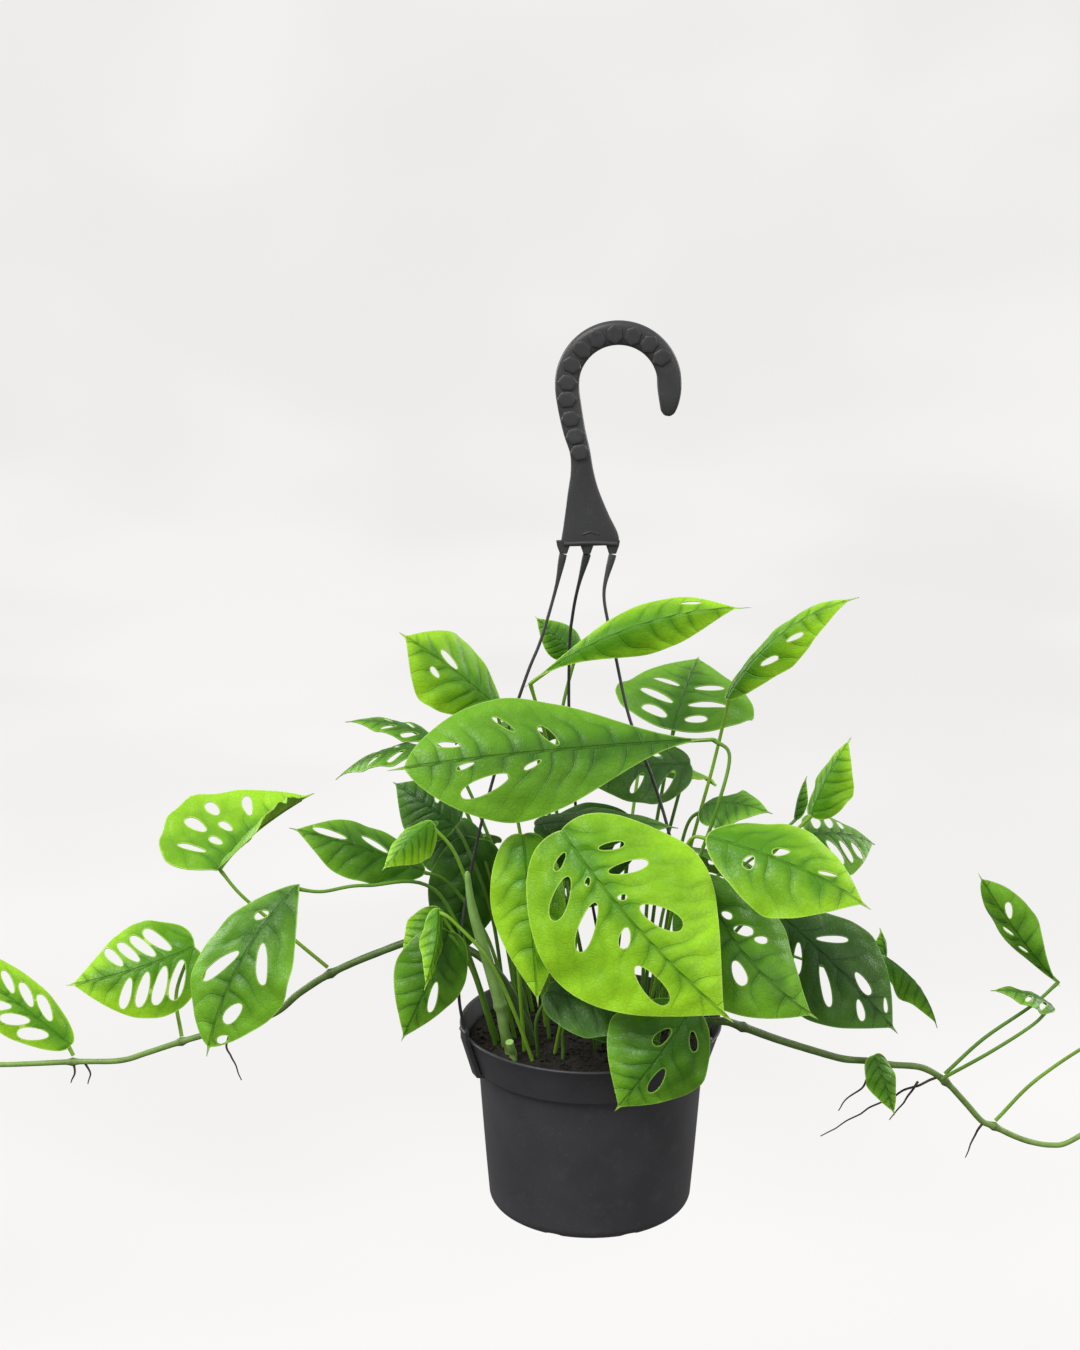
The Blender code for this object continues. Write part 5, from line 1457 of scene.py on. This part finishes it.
        base=(268, 0, 19), tip=(220, 12, 84), width=30, face=(-0.6, -0.75, 0.2),
        route=((202.2, -13, -28.4), (224, -10, -8), (252, -4, 10)), stem="stem_right",
        fold=24, belly=0.63, point=-0.3, neck=1.1,
        holes=((0.62, -0.12, 0.72, -0.4, 4), (0.34, 0.14, 0.41, 0.36, 2.5), (0.5, 0.2, 0.58, 0.5, 3)),
    ),
    "leaf_vine_right_edge": Leaf(
        base=(262, -14, 14), tip=(224, -24, 27), width=24, face=(0.0, -0.15, 1.0),
        route=((199.5, -18.4, -29.2), (226, -24, -10), (250, -20, 5)), stem="stem_right", bow=4,
        holes=rule_holes(2, 3),
    ),
    "leaf_vine_right_end": Leaf(
        base=(318, 4, -14), tip=(366, 12, -52), width=46, face=(0.1, -0.75, 0.65),
        route=((233.4, -7.2, -60.2), (258, -2, -36), (296, 2, -12)), stem="stem_right",
        holes=rule_holes(3, 5), bow=6, tone="bright",
    ),
    "leaf_vine_right_young": Leaf(
        base=(316, 6, -51), tip=(338, 8, -38), width=11, face=(0.0, -0.9, 0.3),
        route=((311.1, 6, -57.1),), stem="stem_right", fold=50, bow=1, wave=0.3, lobe=0.0,
        tone="bright",
    ),
    "leaf_back_high": Leaf(
        base=(-30, 52, 160), tip=(-76, 118, 128), width=70, face=(-0.3, 0.6, 0.75),
        route=((-22, 40), (-26, 46, 90)), holes=rule_holes(2, 8), bow=8,
    ),
    "leaf_back_middle": Leaf(
        base=(28, 62, 136), tip=(60, 134, 98), width=80, face=(0.2, 0.6, 0.8),
        route=((14, 44), (22, 52, 80)), holes=rule_holes(3, 7.5), bow=9, tone="bright",
    ),
    "leaf_back_left": Leaf(
        base=(-60, 58, 92), tip=(-124, 102, 48), width=66, face=(-0.5, 0.5, 0.75),
        route=((-42, 36), (-50, 46, 60)), holes=rule_holes(2, 7.5), bow=8,
    ),
    "leaf_back_right": Leaf(
        base=(58, 60, 84), tip=(122, 98, 36), width=68, face=(0.5, 0.5, 0.75),
        route=((36, 42), (44, 50, 50)), holes=rule_holes(3, 6.5), bow=8,
    ),
    "leaf_back_low": Leaf(
        base=(-14, 66, 74), tip=(-34, 128, 4), width=74, face=(-0.1, 0.85, 0.55),
        route=((-10, 46), (-12, 56, 50)), holes=rule_holes(2, 8), bow=9, tone="dark",
    ),
}


# Stems

STEM_STEP = 1.6
ROOT_STEP = 1.2


@dataclass
class Stem:
    """A stem: its route in millimetres, the radii along it, swollen nodes and aerial roots."""

    route: tuple
    radii: tuple
    nodes: tuple = ()
    roots: tuple = ()
    tone: str = "stem"


STEMS = {
    "stem_left": Stem(
        route=(
            (-34, -16), (-50, -14, 30), (-72, -6, 46), (-95, -3, 50), (-123, -4, 41), (-148, -6, 30),
            (-166, -6, 18), (-182, -6, 5), (-215, -5, -6), (-236, -4, -13), (-254, -2, -20),
            (-271, 0, -26), (-298, 3, -28), (-342, 8, -32), (-372, 12, -32), (-389, 14, -25),
        ),
        radii=(2.3, 2.2, 1.9, 1.6, 1.4),
        nodes=((-148, -6, 30), (-234, -4, -12.5), (-298, 3, -28)),
        roots=(
            ((-206, -5, -4), (-208, -8, -14), (-203, -10, -24), (-200, -10, -34)),
            ((-298, 3, -29), (-297, 0, -34), (-299, -2, -39)),
            ((-292, 3, -28), (-288, 0, -34), (-289, -3, -40)),
        ),
    ),
    "stem_right": Stem(
        route=(
            (38, -44), (50, -54, 18), (70, -56, 22), (83, -50, 16), (103, -44, 6), (126, -38, -4),
            (142, -32, -11), (157, -28, -14), (170, -24, -18), (188, -19, -22), (202, -15, -32),
            (215, -12, -47), (225, -10, -59), (232, -8, -63), (244, -6, -70), (255, -4, -75),
            (267, -2, -78), (278, 0, -77), (299, 4, -65), (311, 6, -58),
        ),
        radii=(2.3, 2.2, 1.9, 1.7, 1.4),
        nodes=((83, -50, 16), (202, -15, -32), (232, -8, -63)),
        roots=(
            ((158, -28, -14), (154, -32, -26), (144, -35, -34), (139, -36, -41)),
            ((198, -16, -29), (176, -22, -36), (154, -26, -46), (130, -30, -60)),
            ((186, -20, -30), (178, -24, -40), (170, -26, -51)),
            ((226, -10, -60), (220, -12, -70), (216, -14, -80)),
        ),
    ),
    "stem_front": Stem(
        route=(
            (-46, -32), (-49, -35, 8), (-51, -36, 22), (-58, -38, 50), (-66, -40, 80),
            (-69, -42, 104),
        ),
        radii=(3.0, 3.0, 3.4, 3.2, 2.5, 1.5),
        nodes=((-51, -36, 22),),
        tone="sheath",
    ),
    "stem_stub": Stem(
        route=((-44, -39), (-45, -41, -1), (-46, -43, 4)),
        radii=(2.2, 2.2, 2.4),
        tone="sheath",
    ),
}


def stem_line(stem):
    """The stem's places, from under the soil to its tip."""
    x, y = stem.route[0]
    above = Vector((x, y, SOIL_TOP + 5.0))
    places = [Vector((x, y, SOIL_TOP - 5.0)), above, *(Vector(place) for place in stem.route[1:])]
    return evenly(smooth_route([at(*p) for p in places], 8), STEM_STEP * MM)


def drift(x, y):
    """A small vector that changes smoothly with x and y, made of three noises."""
    return Vector([noise.noise(Vector((x, y, z))) for z in (0.0, 9.3, 18.7)])


def make_stem(name, stem, root_radius, material):
    """One stem with its swollen nodes, leaf scars and wandering aerial roots."""
    points = stem_line(stem)
    count = len(points)
    scars = []
    for place in stem.nodes:
        scars.append(min(range(count), key=lambda i: (points[i] - at(*place)).length))
    radii, joints = [], []
    for i in range(count):
        base = along(stem.radii, i / (count - 1))
        swell = sum(math.exp(-(((i - k) * STEM_STEP / 2.6) ** 2)) for k in scars)
        ridge = sum(math.exp(-(((i - k) * STEM_STEP) ** 2)) for k in scars)
        flutter = 0.05 * noise.noise(points[i] * 160.0)
        radii.append(base * (1.0 + flutter) + 0.75 * swell + 0.2 * ridge)
        joints.append(min(1.0, ridge + 0.3 * swell))
    if name != "stem_stub":
        radii[-1] *= 0.5
    shape = Shape()
    ages = [i / (count - 1) for i in range(count)]
    shape.add_rings(tube_rings(points, radii, 14), age=ages, joint=joints, root=0.0)
    draw = random.Random(len(name) * 7 + count)
    for root in stem.roots:
        line = evenly(smooth_route([at(*p) for p in root], 8), ROOT_STEP * MM)
        wander = draw.uniform(0.0, 20.0)
        for i, point in enumerate(line):
            pull = min(1.0, i / 6.0) * 1.1 * MM
            line[i] = point + drift(i * 0.16 + wander, wander) * pull
        thick = root_radius / MM
        share = [i / (len(line) - 1) for i in range(len(line))]
        shape.add_rings(
            tube_rings(line, [thick * (1.0 - 0.62 * s) for s in share], 7),
            age=0.0, joint=0.0, root=[min(1.0, 0.35 + 4.0 * s) for s in share],
        )
    return shape.piece(f"{name}_grown", material, SLOTS[stem.tone], name, 60.0)


# Settings that a user would change

def colour_setting(name, description, default):
    return bpy.props.FloatVectorProperty(
        name=name, description=description, subtype="COLOR", size=3, min=0.0, max=1.0, default=default
    )


def length_setting(name, description, default, least, most):
    return bpy.props.FloatProperty(
        name=name, description=description, default=default, min=least, max=most, unit="LENGTH"
    )


def power_setting(name, description, default):
    return bpy.props.FloatProperty(
        name=name, description=description, default=default, min=0.0, unit="POWER"
    )


class PotSettings(bpy.types.PropertyGroup):
    """Colours and finish of the moulded plastic and of the peat."""

    plastic: colour_setting("Plastic", "Colour of the pot", (0.043, 0.043, 0.049))
    hanger: colour_setting(
        "Hanger", "Colour of the hook and its strands", (0.042, 0.042, 0.044)
    )
    peat: colour_setting("Peat", "Colour of the damp peat", (0.012, 0.0085, 0.006))
    crumb_size: length_setting(
        "Crumb size", "Radius of a middling loose lump of peat", 0.0013, 0.0004, 0.004
    )
    strand_radius: length_setting(
        "Strand radius", "Radius of the hanger's strands", 0.0009, 0.0005, 0.002
    )


class LeafSettings(bpy.types.PropertyGroup):
    """Sizes and colours of the leaves."""

    blade_thickness: length_setting(
        "Blade thickness", "Thickness of a leaf blade", 0.0005, 0.0003, 0.001
    )
    vein_gap: length_setting(
        "Vein gap", "Distance between the side veins on a large leaf", 0.0135, 0.004, 0.03
    )
    quilting: length_setting(
        "Quilting", "How far the blade swells between its veins", 0.0016, 0.0, 0.003
    )
    stalk_radius: length_setting(
        "Stalk radius", "Radius of a leaf stalk", 0.00115, 0.0006, 0.003
    )
    stalk: colour_setting("Stalk", "Colour that tints the leaf stalks", (0.16, 0.3, 0.05))
    bright_deep: colour_setting(
        "Young leaf, deep", "Darker green of the young leaves", (0.095, 0.31, 0.005)
    )
    bright_light: colour_setting(
        "Young leaf, light", "Lighter green of the young leaves", (0.4, 0.8, 0.02)
    )
    bright_margin: colour_setting(
        "Young leaf, margin", "Margin and underside veins of the young leaves", (0.55, 0.86, 0.12)
    )
    green_deep: colour_setting(
        "Grown leaf, deep", "Darker green of the grown leaves", (0.05, 0.18, 0.006)
    )
    green_light: colour_setting(
        "Grown leaf, light", "Lighter green of the grown leaves", (0.19, 0.48, 0.02)
    )
    green_margin: colour_setting(
        "Grown leaf, margin", "Margin and underside veins of the grown leaves", (0.38, 0.66, 0.09)
    )
    # These three colours are painted shade: darker copies of the leaf greens for the leaves that sit in
    # shade inside, under and behind the crown.
    dark_deep: colour_setting(
        "Old leaf, deep", "Darker green of the shaded leaves", (0.028, 0.1, 0.009)
    )
    dark_light: colour_setting(
        "Old leaf, light", "Lighter green of the shaded leaves", (0.085, 0.23, 0.022)
    )
    dark_margin: colour_setting(
        "Old leaf, margin", "Margin and underside veins of the shaded leaves", (0.2, 0.42, 0.07)
    )


class StemSettings(bpy.types.PropertyGroup):
    """Colours of the stems and their roots."""

    vine_old: colour_setting("Vine, old", "Vine near the soil", (0.05, 0.095, 0.022))
    vine_young: colour_setting("Vine, young", "Vine near its tip", (0.3, 0.5, 0.1))
    sheath_old: colour_setting("Sheath, low", "Pale stem by the soil", (0.2, 0.34, 0.08))
    sheath_young: colour_setting("Sheath, high", "Pale stem near its top", (0.36, 0.62, 0.16))
    root: colour_setting(
        "Aerial root", "Thin dry roots on the vines", (0.045, 0.026, 0.016)
    )
    root_radius: length_setting(
        "Root radius", "Radius of an aerial root at its stem", 0.0008, 0.0003, 0.002
    )


class StageSettings(bpy.types.PropertyGroup):
    """The studio."""

    backdrop: colour_setting(
        "Backdrop", "Colour of the floor and the backdrop", (0.84, 0.832, 0.822)
    )
    floor_height: length_setting(
        "Floor height", "Height of the studio floor", -0.9, -3.0, -0.52
    )
    key_power: power_setting("Key light", "Power of the large light at the upper left", 58.0)
    fill_power: power_setting("Fill light", "Power of each of the softer lights", 22.0)


# Operators

def leaf_paints(settings):
    """A leaf paint for each tone."""
    paints = {}
    for tone in ("bright", "green", "dark"):
        parts = ("deep", "light", "margin")
        colours = [list(getattr(settings, f"{tone}_{part}")) for part in parts]
        stalk = [0.45 * a + 0.5 * b for a, b in zip(colours[1], settings.stalk)]
        paints[tone] = leaf_paint(f"Leaf {tone}", *colours, stalk)
    return paints


def grow(names, settings):
    """Makes the named leaves; one without a set youth draws it by a seed from its name."""
    paints = leaf_paints(settings)
    for name in names:
        make_leaf(name, LEAVES[name], settings, paints, random.Random(sum(map(ord, name))))


class PLANT_OT_pot(bpy.types.Operator):
    """Builds the moulded pot with its lip, feet and drain holes"""

    bl_idname = "hanging_plant.pot"
    bl_label = "Pot"

    def execute(self, context):
        settings = context.scene.pot_settings
        make_pot(plastic_paint("Pot plastic", list(settings.plastic)))
        return {"FINISHED"}


class PLANT_OT_soil(bpy.types.Operator):
    """Fills the pot with crumbly peat"""

    bl_idname = "hanging_plant.soil"
    bl_label = "Peat"

    def execute(self, context):
        settings = context.scene.pot_settings
        make_soil(peat_paint("Damp peat", list(settings.peat)), settings.crumb_size)
        return {"FINISHED"}


class PLANT_OT_hanger(bpy.types.Operator):
    """Builds the crook with its grip pads and the three strands with their clips"""

    bl_idname = "hanging_plant.hanger"
    bl_label = "Hanger"

    def execute(self, context):
        settings = context.scene.pot_settings
        plastic = plastic_paint("Hanger plastic", list(settings.hanger))
        make_hook(plastic)
        for name in STRAND_ROUTES:
            make_strand(name, settings.strand_radius, plastic)
        return {"FINISHED"}


class PLANT_OT_stems(bpy.types.Operator):
    """Grows the two trailing vines, the front stem and the cut stub"""

    bl_idname = "hanging_plant.stems"
    bl_label = "Stems"

    def execute(self, context):
        settings = context.scene.stem_settings
        root = list(settings.root)
        paints = {
            "stem": stem_paint("Vine", list(settings.vine_old), list(settings.vine_young), root),
            "sheath": stem_paint(
                "Young stem", list(settings.sheath_old), list(settings.sheath_young), root
            ),
        }
        for name, stem in STEMS.items():
            make_stem(name, stem, settings.root_radius, paints[stem.tone])
        return {"FINISHED"}


class PLANT_OT_leaves(bpy.types.Operator):
    """Grows every leaf of the crown and of both vines"""

    bl_idname = "hanging_plant.leaves"
    bl_label = "Leaves"

    def execute(self, context):
        grow(LEAVES, context.scene.leaf_settings)
        return {"FINISHED"}


class PLANT_OT_stage(bpy.types.Operator):
    """Sets up the pale seamless studio, its soft lights and the camera"""

    bl_idname = "hanging_plant.stage"
    bl_label = "Studio"

    def execute(self, context):
        settings = context.scene.stage_settings
        make_backdrop(settings)
        make_lights(settings)
        make_camera(context.scene)
        return {"FINISHED"}


def make_backdrop(settings):
    """A round studio: a flat floor that curves up into a wall on every side, with soft painted shadows
    over it.
    """
    profile = [(0.01, 0.0), (1.0, 0.0), (2.2, 0.0)]
    profile += corner(STUDIO_RADIUS, STUDIO_CURVE, STUDIO_CURVE, -90.0, 0.0, 12)
    profile.append((STUDIO_RADIUS + STUDIO_CURVE, STUDIO_TOP))
    sides = STUDIO_SIDES
    points, faces = [], []
    for radius, rise in profile:
        height = settings.floor_height + rise
        points += ring_of(sides, lambda c, s: (radius * c, radius * s, height))
    for i in range(len(profile) - 1):
        for k in range(sides):
            a, b, n = i * sides, (i + 1) * sides, (k + 1) % sides
            faces.append((a + k, b + k, b + n, a + n))
    faces.append(tuple(range(sides)))
    mesh = bpy.data.meshes.new("studio")
    mesh.from_pydata(points, [], faces)
    mesh.shade_smooth()
    backdrop = bpy.data.objects.new("studio", mesh)
    bpy.context.scene.collection.objects.link(backdrop)
    paint = Paint("Studio paper")
    # Painted shadows: soft darker blotches over the backdrop's even glow, like the shadows of leaves on
    # the wall.
    painted_shadows = paint.noise(1.1)
    glow = list(settings.backdrop)
    paint.finish(
        Base_Color=(0.1, 0.1, 0.1, 1.0),
        Emission_Color=paint.mix(painted_shadows.rising(0.35, 0.65), scaled(glow, 0.93), glow),
        Emission_Strength=1.0,
        Roughness=1.0,
        Specular_IOR_Level=0.0,
    )
    mesh.materials.append(paint.material)
    backdrop.visible_diffuse = False
    backdrop.visible_glossy = False


def area_light(name, place, goal, energy, size):
    """A soft rectangular light at a place, turned to its goal."""
    light = bpy.data.lights.new(name, "AREA")
    light.energy = energy
    light.shape = "RECTANGLE"
    light.size, light.size_y = size
    lamp = bpy.data.objects.new(name, light)
    bpy.context.scene.collection.objects.link(lamp)
    lamp.location = place
    lamp.rotation_euler = (Vector(goal) - Vector(place)).to_track_quat("-Z", "Y").to_euler()


def make_lights(settings):
    """Four soft lights and an air that is brighter above than below."""
    middle = (0.0, 0.0, -0.25)
    area_light("key", (-1.3, -1.5, 1.9), middle, settings.key_power, (1.3, 1.3))
    area_light("fill", (2.0, -1.4, 0.5), middle, settings.fill_power * 0.5, (1.4, 1.4))
    area_light("side left", (-1.9, 1.3, 0.4), middle, settings.fill_power, (1.0, 1.6))
    area_light("side right", (1.9, 1.4, 0.3), middle, settings.fill_power, (1.0, 1.6))
    world = bpy.data.worlds.new("studio air")
    world.use_nodes = True
    nodes, links = world.node_tree.nodes, world.node_tree.links
    height = nodes.new("ShaderNodeSeparateXYZ")
    links.new(nodes.new("ShaderNodeTexCoord").outputs["Generated"], height.inputs[0])
    ramp = nodes.new("ShaderNodeMapRange")
    limits = {"From Min": -0.6, "From Max": 0.9, "To Min": 0.14, "To Max": 0.6}
    for key, value in limits.items():
        ramp.inputs[key].default_value = value
    links.new(height.outputs["Z"], ramp.inputs["Value"])
    air = nodes["Background"]
    air.inputs["Color"].default_value = (1.0, 0.99, 0.975, 1.0)
    links.new(ramp.outputs[0], air.inputs["Strength"])
    bpy.context.scene.world = world


def make_camera(scene):
    """The photograph's view."""
    data = bpy.data.cameras.new("camera")
    data.sensor_fit = "AUTO"
    data.sensor_width = SENSOR
    data.lens = FOCAL_PIXELS * SENSOR / PHOTO_SIZE[1]
    camera = bpy.data.objects.new("camera", data)
    scene.collection.objects.link(camera)
    camera.location = CAMERA_PLACE
    camera.rotation_euler = (math.radians(90.0 - CAMERA_PITCH), 0.0, 0.0)
    scene.camera = camera
    scene.view_settings.view_transform = "Standard"
    scene.view_settings.look = "None"


class PLANT_PT_panel(bpy.types.Panel):
    """The plant's pieces, in the order in which they are built."""

    bl_label = "Hanging Plant"
    bl_idname = "PLANT_PT_panel"
    bl_space_type = "VIEW_3D"
    bl_region_type = "UI"
    bl_category = "Hanging Plant"

    def draw(self, context):
        scene = context.scene
        groups = (
            (scene.pot_settings, (PLANT_OT_pot, PLANT_OT_soil, PLANT_OT_hanger)),
            (scene.stem_settings, (PLANT_OT_stems,)),
            (scene.leaf_settings, (PLANT_OT_leaves,)),
            (scene.stage_settings, (PLANT_OT_stage,)),
        )
        for settings, operators in groups:
            box = self.layout.box()
            for operator in operators:
                box.operator(operator.bl_idname)
            for key in settings.__annotations__:
                box.prop(settings, key)


SETTINGS = {
    "pot_settings": PotSettings,
    "leaf_settings": LeafSettings,
    "stem_settings": StemSettings,
    "stage_settings": StageSettings,
}
CLASSES = (
    *SETTINGS.values(),
    PLANT_OT_pot,
    PLANT_OT_soil,
    PLANT_OT_hanger,
    PLANT_OT_stems,
    PLANT_OT_leaves,
    PLANT_OT_stage,
    PLANT_PT_panel,
)


def register():
    for each in CLASSES:
        bpy.utils.register_class(each)
    for key, group in SETTINGS.items():
        setattr(bpy.types.Scene, key, bpy.props.PointerProperty(type=group))


def unregister():
    for key in SETTINGS:
        delattr(bpy.types.Scene, key)
    for each in reversed(CLASSES):
        bpy.utils.unregister_class(each)


def main():
    register()
    bpy.ops.hanging_plant.pot()
    bpy.ops.hanging_plant.soil()
    bpy.ops.hanging_plant.hanger()
    bpy.ops.hanging_plant.stems()
    bpy.ops.hanging_plant.leaves()
    bpy.ops.hanging_plant.stage()


if __name__ == "__main__":
    main()
